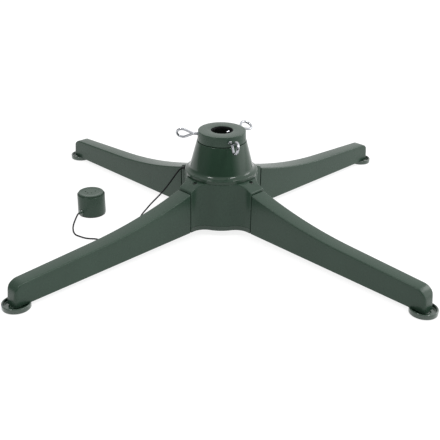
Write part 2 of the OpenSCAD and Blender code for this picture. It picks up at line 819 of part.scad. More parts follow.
module cone_cover() {
    flare = arc(flare_c, flare_r, 180 + cone_tilt, flare_end, 6);
    straight = (cone_low_r - cone_top_r) / (cone_h - flare_h);
    low_in = cone_low_r + straight * flare_h - cone_wall;
    high_in = cone_top_r + straight * 3 - cone_wall;
    hole = tube_r + bush_t + 2 * run_fit;
    color(green) difference() {
        union() {
            difference() {
                rotate_extrude() polygon(concat(
                    [[0, deck_z], [flange_r, deck_z], [flange_r, flange_shoulder],
                     [flange_r - flange_edge, flange_shoulder + flange_edge]],
                    [for (k = [len(flare) - 1:-1:0]) flare[k]],
                    [[cone_top_r, cone_z - 0.6], [cone_top_r - 0.6, cone_z], [0, cone_z]]));
                translate([0, 0, deck_z]) cylinder(r1 = low_in, r2 = high_in, h = cone_h - 3);
                disc(low_in, deck_z - over, deck_z);
            }
            intersection() {
                at_cone_screws() {
                    disc(boss_r, deck_z, deck_z + cone_boss_h);
                    bar(0, cone_wall + boss_r, 1.2, deck_z, deck_z + cone_boss_h);
                }
                translate([0, 0, deck_z]) cylinder(r1 = low_in + 1, r2 = high_in + 1, h = cone_h - 3);
            }
        }
        disc(hole, cone_z - 3 - over, cone_z + over);
        at_cone_screws() disc(screw_r + screw_fit, deck_z - over, deck_z + cone_screw_len);
    }
}

module cone_screws() {
    color(steel) at_cone_screws() translate([0, 0, deck_z - deck_t])
        screw_up(screw_r, deck_t + cone_screw_len - 1, screw_head_r, screw_head_h);
}

module cone_bush() {
    color(bronze) {
        ring(tube_r + run_fit + bush_t, tube_r + run_fit, cone_z - 3, cone_z);
        ring(tube_r + bush_t + bush_flange, tube_r + run_fit, cone_z - 3 - bush_flange, cone_z - 3);
    }
}

// Half of the thrust bearing's section, with its ball groove
module race(r_in, z0) {
    rotate_extrude() difference() {
        translate([r_in, z0]) square([race_out - r_in, race_t]);
        translate([ball_ring, ball_mid]) circle(r = groove_r);
    }
}

module bearing_race_lower() {
    color(steel) race(race_in, race_z);
}

module bearing_race_upper() {
    color(steel) race(tube_r + run_fit, flange_z - race_t);
}

module at_balls() {
    for (k = [0:ball_count - 1]) rotate([0, 0, 360 * k / ball_count]) translate([ball_ring, 0, ball_mid]) children();
}

module bearing_balls() {
    color(bright) at_balls() sphere(r = ball_r, $fn = 48);
}

module bearing_cage() {
    color(brass) difference() {
        ring(race_out - 1, race_in + 0.4, ball_mid - cage_t / 2, ball_mid + cage_t / 2);
        at_balls() translate([0, 0, -cage_t]) cylinder(r = ball_r + cage_play, h = 2 * cage_t);
    }
}

// ---- turning pieces ----

module at_bolt(k) {
    translate([0, 0, bolt_z]) rotate([0, 0, bolt_az[k]]) children();
}

module bolt_hole(k, r, from, to) {
    at_bolt(k) translate([from, 0, 0]) rotate([0, 90, 0]) cylinder(r = r, h = to - from);
}

module spindle_tube() {
    color(steel) difference() {
        union() {
            disc(tube_r, tube_low, tube_top);
            disc(race_out, flange_z, flange_z + thrust_t);
            disc(shoulder_r, shoulder_z, shoulder_z + shoulder_t);
        }
        disc(bore_r, tube_low - over, tube_top + over);
        disc(bore_r + bore_relief, relief_z, tube_top + over);
        disc(bore_r + stop_ledge, tube_low - over, tube_low + stop_t);
        ring(tube_r + over, tube_r - clip_groove, clip_z, clip_z + clip_t + 0.1);
        for (k = [0:2]) bolt_hole(k, bolt_hole_r, bore_r - 2, tube_r + 2);
    }
}

module pole_stop() {
    color(steel) disc(bore_r + stop_ledge - run_fit, tube_low, tube_low + stop_t);
}

module spindle_gear() {
    color(white_plastic) translate([0, 0, gear_z]) difference() {
        linear_extrude(gear_w) polygon(gear_outline(gear_teeth));
        translate([0, 0, -over]) cylinder(r = tube_r + run_fit, h = gear_w + 2 * over);
    }
}

module friction_washer() {
    color(bronze) ring(shoulder_r, tube_r + run_fit, gear_z + gear_w, shoulder_z);
}

module gear_circlip() {
    color(steel) difference() {
        ring(tube_r + 2.4, tube_r - clip_groove + run_fit, clip_z, clip_z + clip_t);
        translate([0, -2.5, clip_z - over]) cube([tube_r + 4, 5, clip_t + 2 * over]);
    }
}

module collar_cap() {
    pocket_in = tube_r + collar_sleeve;
    pocket_out = collar_r - collar_skirt;
    color(green) difference() {
        union() {
            translate([0, 0, collar_z]) cylinder(r1 = collar_r + collar_draft, r2 = collar_r, h = collar_h);
        }
        difference() {
            ring(pocket_out, pocket_in, collar_z - over, tube_top);
            for (k = [0:2]) rotate([0, 0, bolt_az[k]])
                bar(tube_r + 1, collar_r, bolt_block_w / 2, collar_z, top_z);
        }
        disc(tube_r + run_fit, collar_z - over, tube_top);
        disc(lip_r, collar_z - over, top_z + over);
        for (k = [0:2]) {
            bolt_hole(k, bolt_hole_r, tube_r - 1, collar_r + collar_draft + 2);
            rotate([0, 0, bolt_az[k]]) bar(nut_at - nut_t / 2 - nut_play, nut_at + nut_t / 2 + nut_play,
                nut_w / 2 + nut_play, collar_z - over, bolt_z + nut_w / 2 + nut_play);
        }
    }
}

module clamp_nuts() {
    color(steel) for (k = [0:2]) difference() {
        at_bolt(k) bar(nut_at - nut_t / 2, nut_at + nut_t / 2, nut_w / 2, -nut_w / 2, nut_w / 2);
        bolt_hole(k, bolt_r + run_fit, nut_at - nut_t, nut_at + nut_t);
    }
}

// A bolt whose wire is bent round into a drop-shaped eye
module eye_bolt(k) {
    leg_angle = 180 - eye_sweep;
    reach = (eye_mid - eye_neck) * sin(leg_angle);
    chamfer = 1;
    color(bright) at_bolt(k) translate([bolt_out[k], 0, 0]) rotate([-bolt_lean[k], 0, 0]) {
        rotate([0, 90, 0]) {
            translate([0, 0, bolt_tip]) cylinder(r1 = bolt_r - chamfer, r2 = bolt_r, h = chamfer);
            translate([0, 0, bolt_tip + chamfer]) cylinder(r = bolt_r, h = thread_end - bolt_tip - chamfer);
            translate([0, 0, thread_end]) cylinder(r = wire_r, h = eye_neck - thread_end);
        }
        translate([eye_neck, 0, 0]) sphere(r = wire_r + 0.2);
        for (s = [-1, 1]) translate([eye_neck, 0, 0]) rotate([0, 90 + s * (90 - leg_angle), 0])
            cylinder(r = wire_r - 0.06, h = reach + 0.5);
        translate([eye_mid, 0, 0]) rotate([90, 0, 0]) rotate([0, 0, -eye_sweep])
            rotate_extrude(angle = 2 * eye_sweep) translate([eye_r, 0]) circle(r = wire_r, $fn = 48);
    }
}

// ---- motor and wiring ----

module at_shaft() {
    translate([shaft_x, 0, 0]) children();
}

module motor_can() {
    color(steel) difference() {
        translate([can_x, 0, 0]) disc(motor_r, motor_z, motor_top - plate_t);
        at_shaft() disc(shaft_r + 0.5, motor_top - plate_t - 5, motor_top);
    }
}

module motor_plate() {
    color(steel) difference() {
        union() {
            translate([can_x, 0, motor_top - plate_t]) linear_extrude(plate_t) {
                circle(r = motor_r);
                for (s = [-1, 1]) translate([0, s * ear_y]) circle(r = ear_r);
                translate([-ear_r, -ear_y]) square([2 * ear_r, 2 * ear_y]);
            }
            at_shaft() disc(shaft_r + 2, motor_top - plate_t / 2, motor_top + shaft_boss_h);
        }
        at_shaft() disc(shaft_r + run_fit, motor_top - plate_t - over, motor_top + shaft_boss_h + over);
        for (s = [-1, 1]) translate([can_x, s * ear_y, 0])
            disc(motor_screw_r + 2 * screw_fit, motor_top - plate_t - over, motor_top + over);
    }
}

// The shaft's outline where the pinion sits: round with one flat
module shaft_section(grow) {
    intersection() {
        circle(r = shaft_r + grow);
        translate([-shaft_r - over, -shaft_r - over]) square([shaft_r + over + shaft_flat + grow, 2 * shaft_r + 2 * over]);
    }
}

module motor_shaft() {
    color(bright) at_shaft() {
        disc(shaft_r, motor_top - plate_t - 4.7, pinion_low - 0.2);
        translate([0, 0, pinion_low - 0.2]) linear_extrude(pinion_high - pinion_low + 0.7) shaft_section(0);
    }
}

module drive_pinion() {
    color(brass) at_shaft() translate([0, 0, pinion_low]) difference() {
        rotate([0, 0, 180 + 180 / pinion_teeth]) linear_extrude(pinion_high - pinion_low)
            polygon(gear_outline(pinion_teeth));
        translate([0, 0, -over]) linear_extrude(pinion_high - pinion_low + 2 * over) shaft_section(run_fit);
    }
}

module motor_screws() {
    color(steel) for (s = [-1, 1]) translate([can_x, s * ear_y, motor_top]) {
        cylinder(r = 2 * motor_screw_r, h = 2);
        translate([0, 0, -plate_t - 11]) cylinder(r = motor_screw_r, h = plate_t + 11);
    }
}

module terminal_block() {
    color(white_plastic) difference() {
        translate([block_x - block_size[0] / 2, -block_size[1] / 2, base_z + base_t]) cube(block_size);
        for (y = [-7, 0, 7]) translate([block_x - 4, y, 0]) disc(1.3, block_top - 4, block_top + over);
    }
}

module internal_leads() {
    color(black) for (p = lead_routes) swept(smooth(p, 3), lead_r, lead_sides);
}

// ---- foot switch ----

module at_switch() {
    translate([switch_x, switch_y, 0]) children();
}

module switch_cord() {
    color(black) swept(smooth(cord_points, 3), cord_d / 2, cord_sides);
}

module at_switch_screws() {
    for (a = switch_screw_az) rotate([0, 0, a]) translate([switch_screw_at, 0, 0]) children();
}

module switch_gland_place() {
    at_switch() translate([0, 0, switch_gland_z]) rotate([0, 0, switch_gland_az]) rotate([0, 90, 0]) children();
}

module switch_housing() {
    color(green) difference() {
        at_switch() difference() {
            union() {
                difference() {
                    translate([0, 0, switch_pad_t])
                        cylinder(r1 = switch_r, r2 = switch_rim_r, h = switch_rim_h - switch_pad_t);
                    disc(switch_bore_r, switch_pad_t - over, switch_rim_h + over);
                }
                ring(switch_bore_r + 0.5, switch_skirt_r + slide_gap, switch_ledge_z - switch_ledge_t, switch_ledge_z);
                at_switch_screws() disc(switch_boss_r, switch_floor, switch_floor + switch_boss_h);
            }
            at_switch_screws() disc(switch_screw_r + screw_fit, switch_floor - over, switch_floor + switch_boss_h - 1);
        }
        switch_gland_place() {
            disc(switch_gland_r + run_fit, switch_bore_r - 2, switch_r + over);
            disc(switch_boot_r + 0.2, switch_boot_seat, switch_r + over);
        }
    }
}

module switch_base() {
    color(dark_green) at_switch() difference() {
        disc(switch_bore_r - 0.1, switch_pad_t, switch_floor);
        at_switch_screws() {
            disc(switch_screw_r + screw_fit, 0, switch_floor + over);
            disc(switch_screw_head_r + 0.2, 0, switch_pad_t + switch_screw_head_h);
        }
    }
}

module switch_pad() {
    color(black) at_switch() disc(switch_r - 0.7, 0, switch_pad_t);
}

module switch_cap() {
    bevel = 1;
    disc_z = switch_ledge_z + switch_travel + 0.4;
    color(green) at_switch() difference() {
        union() {
            disc(switch_cap_r, disc_z, switch_cap_z - bevel);
            translate([0, 0, switch_cap_z - bevel]) cylinder(r1 = switch_cap_r, r2 = switch_cap_r - bevel, h = bevel);
            disc(switch_skirt_r, switch_lip_z - switch_lip_t, disc_z + 0.5);
            disc(switch_cap_r - 0.3, switch_lip_z - switch_lip_t, switch_lip_z);
        }
        difference() {
            disc(switch_skirt_r - switch_skirt_t, 0, switch_cap_z - switch_cap_t);
            disc(plunger_r, switch_floor + contact_h + 0.5 - switch_travel, switch_cap_z);
        }
        for (d = dimples) translate(d) disc(dimple_r, switch_cap_z - dimple_deep, switch_cap_z + over);
    }
}

module switch_contact() {
    color(black) at_switch() difference() {
        translate([-contact_w / 2, -contact_w / 2, switch_floor]) cube([contact_w, contact_w, contact_h]);
        disc(plunger_r + slide_gap, switch_floor + contact_h - 2 * switch_travel - 2, switch_floor + contact_h + over);
    }
}

module switch_spring() {
    steps = spring_turns * spring_steps;
    line = [for (i = [0:steps]) [
        spring_ring * cos(360 * i / spring_steps), spring_ring * sin(360 * i / spring_steps),
        spring_low + spring_pitch * i / spring_steps]];
    echo(least_gap_between_turns = spring_pitch - 2 * spring_wire_r);
    color(steel) at_switch() swept(line, spring_wire_r, spring_sides);
}

module switch_gland() {
    color(black) switch_gland_place() difference() {
        union() {
            disc(switch_gland_r, switch_bore_r, switch_r);
            disc(switch_boot_r, switch_boot_seat, switch_boot_seat + switch_boot_h);
            translate([0, 0, switch_boot_seat + switch_boot_h]) cylinder(
                r1 = switch_boot_r, r2 = switch_gland_tip_r, h = switch_r + switch_gland_out - switch_boot_seat - switch_boot_h);
        }
        disc(cord_d / 2, switch_bore_r - over, switch_r + switch_gland_out - 1);
    }
}

module switch_screws() {
    color(steel) at_switch() at_switch_screws() translate([0, 0, switch_pad_t + switch_screw_head_h])
        screw_up(switch_screw_r, switch_boss_h, switch_screw_head_r, switch_screw_head_h);
}

hub_housing();
base_plate();
base_screws();
deck_bush();
dc_jack();
jack_nut();
cord_gland();
leg(0);  // leg_front_left
leg(1);  // leg_front_right
leg(2);  // leg_rear_right
leg(3);  // leg_rear_left
leg_cover(0);  // leg_cover_front_left
leg_cover(1);  // leg_cover_front_right
leg_cover(2);  // leg_cover_rear_right
leg_cover(3);  // leg_cover_rear_left
leg_lock_screws();
foot_cup(0);  // foot_cup_front_left
foot_cup(1);  // foot_cup_front_right
foot_cup(2);  // foot_cup_rear_right
foot_cup(3);  // foot_cup_rear_left
foot_pad(0);  // foot_pad_front_left
foot_pad(1);  // foot_pad_front_right
foot_pad(2);  // foot_pad_rear_right
foot_pad(3);  // foot_pad_rear_left
foot_screws();
cone_cover();
cone_screws();
cone_bush();
bearing_race_lower();
bearing_balls();
bearing_cage();
bearing_race_upper();
spindle_tube();
pole_stop();
spindle_gear();
friction_washer();
gear_circlip();
collar_cap();
clamp_nuts();
eye_bolt(0);  // eye_bolt_left
eye_bolt(1);  // eye_bolt_front
eye_bolt(2);  // eye_bolt_rear
motor_can();
motor_plate();
motor_shaft();
drive_pinion();
motor_screws();
terminal_block();
internal_leads();
switch_cord();
switch_housing();
switch_base();
switch_pad();
switch_cap();
switch_spring();
switch_contact();
switch_gland();
switch_screws();
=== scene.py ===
# %% [markdown]
# # A rotating tree stand
# Four long hollow legs plug into a low hub with a cone on it. A collar and three eye-bolts turn
# above the cone, and a round step-on switch lies beside it on a thin cord. The solids come from
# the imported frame. This file dresses them: each visible piece is worked out again as a smooth
# surface with soft edges, and every piece gets a procedural finish.

import bmesh
import bpy
import numpy as np
from mathutils import Matrix, Vector


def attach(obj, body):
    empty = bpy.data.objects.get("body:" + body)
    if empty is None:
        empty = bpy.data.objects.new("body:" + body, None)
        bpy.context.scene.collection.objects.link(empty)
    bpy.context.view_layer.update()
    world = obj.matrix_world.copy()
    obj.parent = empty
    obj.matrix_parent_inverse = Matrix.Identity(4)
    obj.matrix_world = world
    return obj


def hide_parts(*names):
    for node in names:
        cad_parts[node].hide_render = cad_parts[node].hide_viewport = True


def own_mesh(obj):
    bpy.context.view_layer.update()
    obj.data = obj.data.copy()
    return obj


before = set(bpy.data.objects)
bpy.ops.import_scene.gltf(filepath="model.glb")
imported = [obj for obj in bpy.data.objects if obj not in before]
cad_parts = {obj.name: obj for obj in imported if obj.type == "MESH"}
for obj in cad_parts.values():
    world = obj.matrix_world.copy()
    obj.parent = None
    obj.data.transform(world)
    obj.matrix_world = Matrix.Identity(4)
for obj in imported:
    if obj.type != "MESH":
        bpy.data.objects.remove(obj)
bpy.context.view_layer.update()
print("nodes in the frame:", len(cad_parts))

# %% [markdown]
# ## The camera
# The photograph looks down on the stand from a little over a metre away. A constraint could aim
# the camera, but it was fitted to the photograph, which gives its place and three angles. So three
# rotations make it: the stand's small turn, the tilt of 26 degrees, and a small roll.

# %% Camera
MM = 0.001
LENS, SENSOR, CLIP = 64.02, 36.0, (0.02, 20)
CAMERA_AT = np.array([-0.726, -1115.0, 547.9])
PITCH, ROLL, YAW = 0.45605, 0.01648, -0.00522


def new_object(name, data):
    """An object of this data, put into the scene."""
    made = bpy.data.objects.new(name, data)
    bpy.context.scene.collection.objects.link(made)
    return made


camera = new_object("camera", bpy.data.cameras.new("camera"))
camera.data.lens = LENS
camera.data.sensor_width = SENSOR
camera.data.clip_start, camera.data.clip_end = CLIP
turn = Matrix.Rotation(YAW, 4, "Z")
camera.matrix_world = (turn @ Matrix.Translation((CAMERA_AT * MM).tolist())
                       @ Matrix.Rotation(np.pi / 2 - PITCH, 4, "X")
                       @ Matrix.Rotation(ROLL, 4, "Z"))
bpy.context.scene.camera = camera
print("camera at", [round(v, 3) for v in camera.matrix_world.translation])

# %% [markdown]
# ## From a grid of points to a piece
# Most parts of the stand are mouldings. They could be built by hand from cubes and cylinders. Here
# each is one sheet of points, worked out as whole arrays from its measures, bent round and closed
# on itself, so a new measure gives a new piece. Quads join each point to its neighbours. Points
# that fall together, as at a pole, are merged, and then the faces are turned outwards. Measures
# are in millimetres, as in the drawing, and become metres here.

# %% Grids, and the pieces made of them
MERGED, TINY = 1e-6, 1e-7


def grid_faces(rows, columns, wrap_rows, wrap_columns):
    """Quad (i, j), (i+1, j), (i+1, j+1), (i, j+1) for every cell. A wrapped direction joins its
    last line to its first."""
    i = np.arange(rows if wrap_rows else rows - 1)
    j = np.arange(columns if wrap_columns else columns - 1)
    a, b = np.meshgrid(i, j, indexing="ij")
    c, d = (a + 1) % rows, (b + 1) % columns
    corners = [a * columns + b, c * columns + b, c * columns + d, a * columns + d]
    return np.stack(corners, -1).reshape(-1, 4)


def sheet(points, wrap_rows=False, wrap_columns=False, lids=False):
    """One skin as (points, faces). lids closes the first and the last row with a flat face."""
    points = np.asarray(points, float)
    rows, columns = points.shape[:2]
    faces = grid_faces(rows, columns, wrap_rows, wrap_columns).tolist()
    if lids:
        faces.append(list(range(columns))[::-1])
        faces.append([(rows - 1) * columns + k for k in range(columns)])
    return points.reshape(-1, 3), faces


def mesh_of(name, skins):
    """Joins skins into one mesh in metres, merges points closer than a micrometre and turns the
    faces outwards."""
    points, faces, start = [], [], 0
    for part_points, part_faces in skins:
        points.append(part_points)
        faces += [[start + k for k in face] for face in part_faces]
        start += len(part_points)
    mesh = bpy.data.meshes.new(name)
    mesh.from_pydata((np.concatenate(points) * MM).tolist(), [], faces)
    bm = bmesh.new()
    bm.from_mesh(mesh)
    bmesh.ops.remove_doubles(bm, verts=bm.verts, dist=MERGED)
    bmesh.ops.dissolve_degenerate(bm, edges=bm.edges, dist=TINY)
    bmesh.ops.recalc_face_normals(bm, faces=bm.faces)
    bm.to_mesh(mesh)
    bm.free()
    return mesh


def solid(name, skins):
    """A new object in the scene, made of these skins."""
    return new_object(name, mesh_of(name, skins))


print("3 by 4 points, closed both ways:", len(grid_faces(3, 4, True, True)), "quads")

# %% [markdown]
# ## Finishes
# The mouldings are one dark green plastic, glossy, with a very fine skin from the mould and slow
# waves where the plastic shrank. A photograph of the skin would have to be unwrapped onto every
# piece. Noise read from Object coordinates needs no unwrapping, and keeps its size on all of them.
# The effects that several finishes share are shader node groups.

# %% Small helpers for nodes
def new_group(name, inputs, outputs):
    """An empty node group with these sockets, and its two end nodes."""
    group = bpy.data.node_groups.new(name, "ShaderNodeTree")
    for label, kind, value in inputs:
        socket = group.interface.new_socket(label, in_out="INPUT", socket_type=kind)
        socket.default_value = value
    for label, kind in outputs:
        group.interface.new_socket(label, in_out="OUTPUT", socket_type=kind)
    return group, group.nodes.new("NodeGroupInput"), group.nodes.new("NodeGroupOutput")


def feed(tree, node, sockets):
    """Sets each of these sockets of a node to a value, or links another node's output to it."""
    for key, value in sockets.items():
        if isinstance(value, bpy.types.NodeSocket):
            tree.links.new(value, node.inputs[key])
        else:
            node.inputs[key].default_value = value


def add_node(tree, kind, sockets, **settings):
    """A new node with these settings, fed with these sockets."""
    node = tree.nodes.new(kind)
    for label, value in settings.items():
        setattr(node, label, value)
    feed(tree, node, sockets)
    return node


def noise(tree, vector, scale, detail, roughness=0.5):
    sockets = {"Vector": vector, "Scale": scale, "Detail": detail, "Roughness": roughness}
    return add_node(tree, "ShaderNodeTexNoise", sockets).outputs["Fac"]


def math_node(tree, operation, *values):
    sockets = dict(enumerate(values))
    return add_node(tree, "ShaderNodeMath", sockets, operation=operation).outputs[0]


def ramp(tree, value, low, high, to_low, to_high):
    """A value between low and high, spread between to_low and to_high."""
    sockets = dict(enumerate((value, low, high, to_low, to_high)))
    return add_node(tree, "ShaderNodeMapRange", sockets).outputs[0]


def mix_colour(tree, share, first, second):
    sockets = {"Factor": share, "A": first, "B": second}
    return add_node(tree, "ShaderNodeMix", sockets, data_type="RGBA").outputs["Result"]


print("helpers for groups, noise, sums, ramps and mixes")

# %% Node groups: the skin of a moulding, and a cloudy, dusty colour
WAVE_SCALE, PATCH_SCALE, CLOUD_SCALE, SPECK_SCALE = 22.0, 45.0, 14.0, 900.0
CLOUD_RANGE, SPECK_RANGE = (0.3, 0.7), (0.68, 0.8)
NOISE_SPREAD, DUST_COLOUR = 4.0, (0.4, 0.42, 0.4, 1)
NUMBER, COLOUR, VECTOR = "NodeSocketFloat", "NodeSocketColor", "NodeSocketVector"


def skin_group():
    """Height = fine grain + slow waves; Gloss = a roughness that drifts about its middle."""
    group, start, end = new_group(
        "moulded_skin",
        [("Vector", VECTOR, (0, 0, 0)), ("Grain", NUMBER, 2600.0), ("Grain height", NUMBER, 0.25),
         ("Wave height", NUMBER, 1.0), ("Roughness", NUMBER, 0.3), ("Drift", NUMBER, 0.06)],
        [("Height", NUMBER), ("Gloss", NUMBER)])
    given = start.outputs
    grain = noise(group, given["Vector"], given["Grain"], 2.0)
    wave = noise(group, given["Vector"], WAVE_SCALE, 1.0)
    height = math_node(group, "ADD", math_node(group, "MULTIPLY", grain, given["Grain height"]),
                       math_node(group, "MULTIPLY", wave, given["Wave height"]))
    patch = noise(group, given["Vector"], PATCH_SCALE, 4.0, 0.6)
    patch = math_node(group, "SUBTRACT", patch, 0.5)
    drift = math_node(group, "MULTIPLY", given["Drift"], NOISE_SPREAD)
    gloss = math_node(group, "ADD", given["Roughness"],
                      math_node(group, "MULTIPLY", patch, drift))
    feed(group, end, {"Height": height, "Gloss": gloss})
    return group


def cloud_group():
    """Colour between a deep and a pale tone by soft noise, with pale specks of settled dust."""
    group, start, end = new_group(
        "cloudy_colour",
        [("Vector", VECTOR, (0, 0, 0)), ("Deep", COLOUR, (0, 0, 0, 1)),
         ("Pale", COLOUR, (1, 1, 1, 1)), ("Dust", COLOUR, DUST_COLOUR),
         ("Dust share", NUMBER, 0.3)],
        [("Colour", COLOUR)])
    given = start.outputs
    cloud = noise(group, given["Vector"], CLOUD_SCALE, 4.0, 0.6)
    cloud = ramp(group, cloud, *CLOUD_RANGE, 0.0, 1.0)
    speck = noise(group, given["Vector"], SPECK_SCALE, 2.0, 0.7)
    speck = ramp(group, speck, *SPECK_RANGE, 0.0, 1.0)
    body = mix_colour(group, cloud, given["Deep"], given["Pale"])
    dusty = math_node(group, "MULTIPLY", speck, given["Dust share"])
    feed(group, end, {"Colour": mix_colour(group, dusty, body, given["Dust"])})
    return group


SKIN, CLOUD = skin_group(), cloud_group()
print("node groups:", SKIN.name, CLOUD.name)

# %% One finish, made from the groups
BUMP_DISTANCE, COAT_ROUGHNESS = 0.0004, 0.12


def finish(name, deep, pale, roughness, metallic=0.0, grain=2600.0, grain_height=0.25, wave=1.0,
           bump=0.12, dust=0.3, drift=0.06, coat=0.0, specular=0.5):
    """One Principled finish. Colour, roughness and normal come from the groups. What is the same
    all over is set on the shader."""
    material = bpy.data.materials.new(name)
    material.use_nodes = True
    tree = material.node_tree
    place = add_node(tree, "ShaderNodeTexCoord", {}).outputs["Object"]
    skin = add_node(tree, "ShaderNodeGroup", {
        "Vector": place, "Grain": grain, "Grain height": grain_height, "Wave height": wave,
        "Roughness": roughness, "Drift": drift}, node_tree=SKIN)
    cloud = add_node(tree, "ShaderNodeGroup", {
        "Vector": place, "Deep": (*deep, 1), "Pale": (*pale, 1), "Dust share": dust},
        node_tree=CLOUD)
    raised = add_node(tree, "ShaderNodeBump", {
        "Strength": bump, "Distance": BUMP_DISTANCE, "Height": skin.outputs["Height"]})
    feed(tree, tree.nodes["Principled BSDF"], {
        "Metallic": metallic, "Coat Weight": coat, "Coat Roughness": COAT_ROUGHNESS,
        "Specular IOR Level": specular, "Normal": raised.outputs["Normal"],
        "Roughness": skin.outputs["Gloss"], "Base Color": cloud.outputs["Colour"]})
    return material


print("sockets of the skin:", [socket.name for socket in SKIN.interface.items_tree])

# %% The finishes
# The legs, hub and collar are satin, the foot dishes have a clear coat, and the cone is the
# deepest and smoothest green.
GREEN = finish("green_plastic", (0.021, 0.043, 0.029), (0.025, 0.050, 0.034), 0.27,
               bump=0.05, dust=0.06, drift=0.02, specular=0.3)
GLOSSY_GREEN = finish("glossy_green_plastic", (0.021, 0.043, 0.029), (0.025, 0.050, 0.034), 0.16,
                      bump=0.04, dust=0.06, drift=0.02, coat=0.6)
CONE_GREEN = finish("deep_green_plastic", (0.017, 0.038, 0.024), (0.021, 0.043, 0.028), 0.13,
                    bump=0.02, dust=0.04, drift=0.02, specular=0.35)
DARK_GREEN = finish("dark_green_plastic", (0.018, 0.036, 0.025), (0.023, 0.045, 0.031), 0.34,
                    dust=0.1)
ZINC = finish("bright_zinc", (0.37, 0.38, 0.40), (0.51, 0.52, 0.55), 0.12, metallic=1.0,
              grain=900.0, wave=0.3, dust=0.1, drift=0.04)
DULL_STEEL = finish("blackened_steel", (0.050, 0.058, 0.053), (0.085, 0.095, 0.088), 0.42,
                    metallic=1.0, grain=1400.0, dust=0.1)
STEEL = finish("steel", (0.42, 0.43, 0.45), (0.52, 0.53, 0.55), 0.34, metallic=1.0, grain=1400.0)
BRONZE = finish("bronze", (0.34, 0.20, 0.07), (0.46, 0.29, 0.12), 0.42, metallic=1.0,
                grain=1800.0, dust=0.1)
BRASS = finish("brass", (0.60, 0.42, 0.14), (0.70, 0.52, 0.20), 0.30, metallic=1.0,
               grain=1200.0, dust=0.1)
WHITE = finish("white_plastic", (0.66, 0.65, 0.60), (0.74, 0.73, 0.68), 0.42, grain=2000.0)
BLACK = finish("black_plastic", (0.010, 0.010, 0.011), (0.016, 0.016, 0.017), 0.40, grain=2200.0)
RUBBER = finish("rubber", (0.014, 0.014, 0.014), (0.024, 0.024, 0.023), 0.75, grain=1600.0,
                grain_height=0.6, bump=0.3, dust=0.5)
CORD = finish("cord_sheath", (0.008, 0.008, 0.009), (0.012, 0.012, 0.013), 0.5, grain=1800.0,
              wave=0.2, dust=0.05, specular=0.15)
print("finishes:", len(bpy.data.materials))

# %% Dressing a piece: shading, finish, what it rides on and what it stands for
SHARP = np.radians(32)


def dress(piece, material, body, slot, *stands_for):
    """Smooth shading, crisp where two faces meet at more than SHARP, and the rest as given."""
    piece.data.shade_smooth()
    piece.data.set_sharp_from_angle(angle=SHARP)
    piece.data.materials.clear()
    piece.data.materials.append(material)
    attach(piece, body)
    if stands_for:
        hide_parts(*stands_for)
    print(f"{piece.name}: {len(piece.data.vertices)} points")
    return piece


# %% [markdown]
# ## The switch's cord
# The cord is a thin round lead. It drops from its gland in the side of the rear left arm, lies on
# the floor, passes behind the front left leg and comes back to the switch. The photograph shows
# it from end to end, so its length is that of this route. A curve with a bevel would look the
# same. A tube along worked-out points has a length that can be added up, and the route is the one
# that the solid has.

# %% Smooth lines and tubes
def smooth_line(points, steps):
    """Catmull-Rom curve through the points: between b and c it follows
    b + t(c-a)/2 + t^2(a - 5b/2 + 2c - d/2) + t^3(3b - a - 3c + d)/2."""
    p = np.asarray(points, float)
    a = np.vstack([p[:1], p[:-2]])[:, None]
    b, c = p[:-1, None], p[1:, None]
    d = np.vstack([p[2:], p[-1:]])[:, None]
    t = np.linspace(0, 1, steps, endpoint=False)[None, :, None]
    line = (b + t * (c - a) / 2 + t**2 * (a - 2.5 * b + 2 * c - d / 2)
            + t**3 * (-a + 3 * b - 3 * c + d) / 2)
    return np.vstack([line.reshape(-1, 3), p[-1:]])


def tube(line, radius, sides, side_start=(0, 0, 1)):
    """A round tube along a line: at each point, radius times (cos a * side + sin a * other side).
    The side is carried from point to point without twist, less its part along the line."""
    line = np.asarray(line, float)
    ahead = np.gradient(line, axis=0)
    ahead /= np.linalg.norm(ahead, axis=1)[:, None]
    side, sides_along = np.array(side_start, float), []
    for t in ahead:
        side = side - (side @ t) * t
        side /= np.linalg.norm(side)
        sides_along.append(side)
    s = np.array(sides_along)[:, None]
    o = np.cross(ahead, s[:, 0])[:, None]
    a = np.linspace(0, 2 * np.pi, sides, endpoint=False)[None, :, None]
    round_it = radius * (np.cos(a) * s + np.sin(a) * o)
    return sheet(line[:, None] + round_it, wrap_columns=True, lids=True)


print("a line through 3 points, in 4 steps each:", len(smooth_line(np.eye(3), 4)), "points")

# %% Route of the cord
ARM_AT = dict(front_left=225, front_right=315, rear_right=45, rear_left=135)
CORD_D, CORD_SIDES, CORD_STEPS = 2.4, 12, 8
GLAND_U, GLAND_V, GLAND_Z, GLAND_OUT = 69.4, 13.5, 74.0, 3.0
SWITCH_AT = (-207.0, 23.5)
BOOT_AZ, BOOT_END, BOOT_Z = np.radians(-130), 27.0, 7.5


def spun(degrees):
    """A turn about the upright axis."""
    return Matrix.Rotation(np.radians(degrees), 4, "Z")


def on_arm(arm, u, v, z):
    """A point u along an arm, v to its left and z up."""
    a = np.radians(ARM_AT[arm])
    return np.array([u * np.cos(a) - v * np.sin(a), u * np.sin(a) + v * np.cos(a), z])


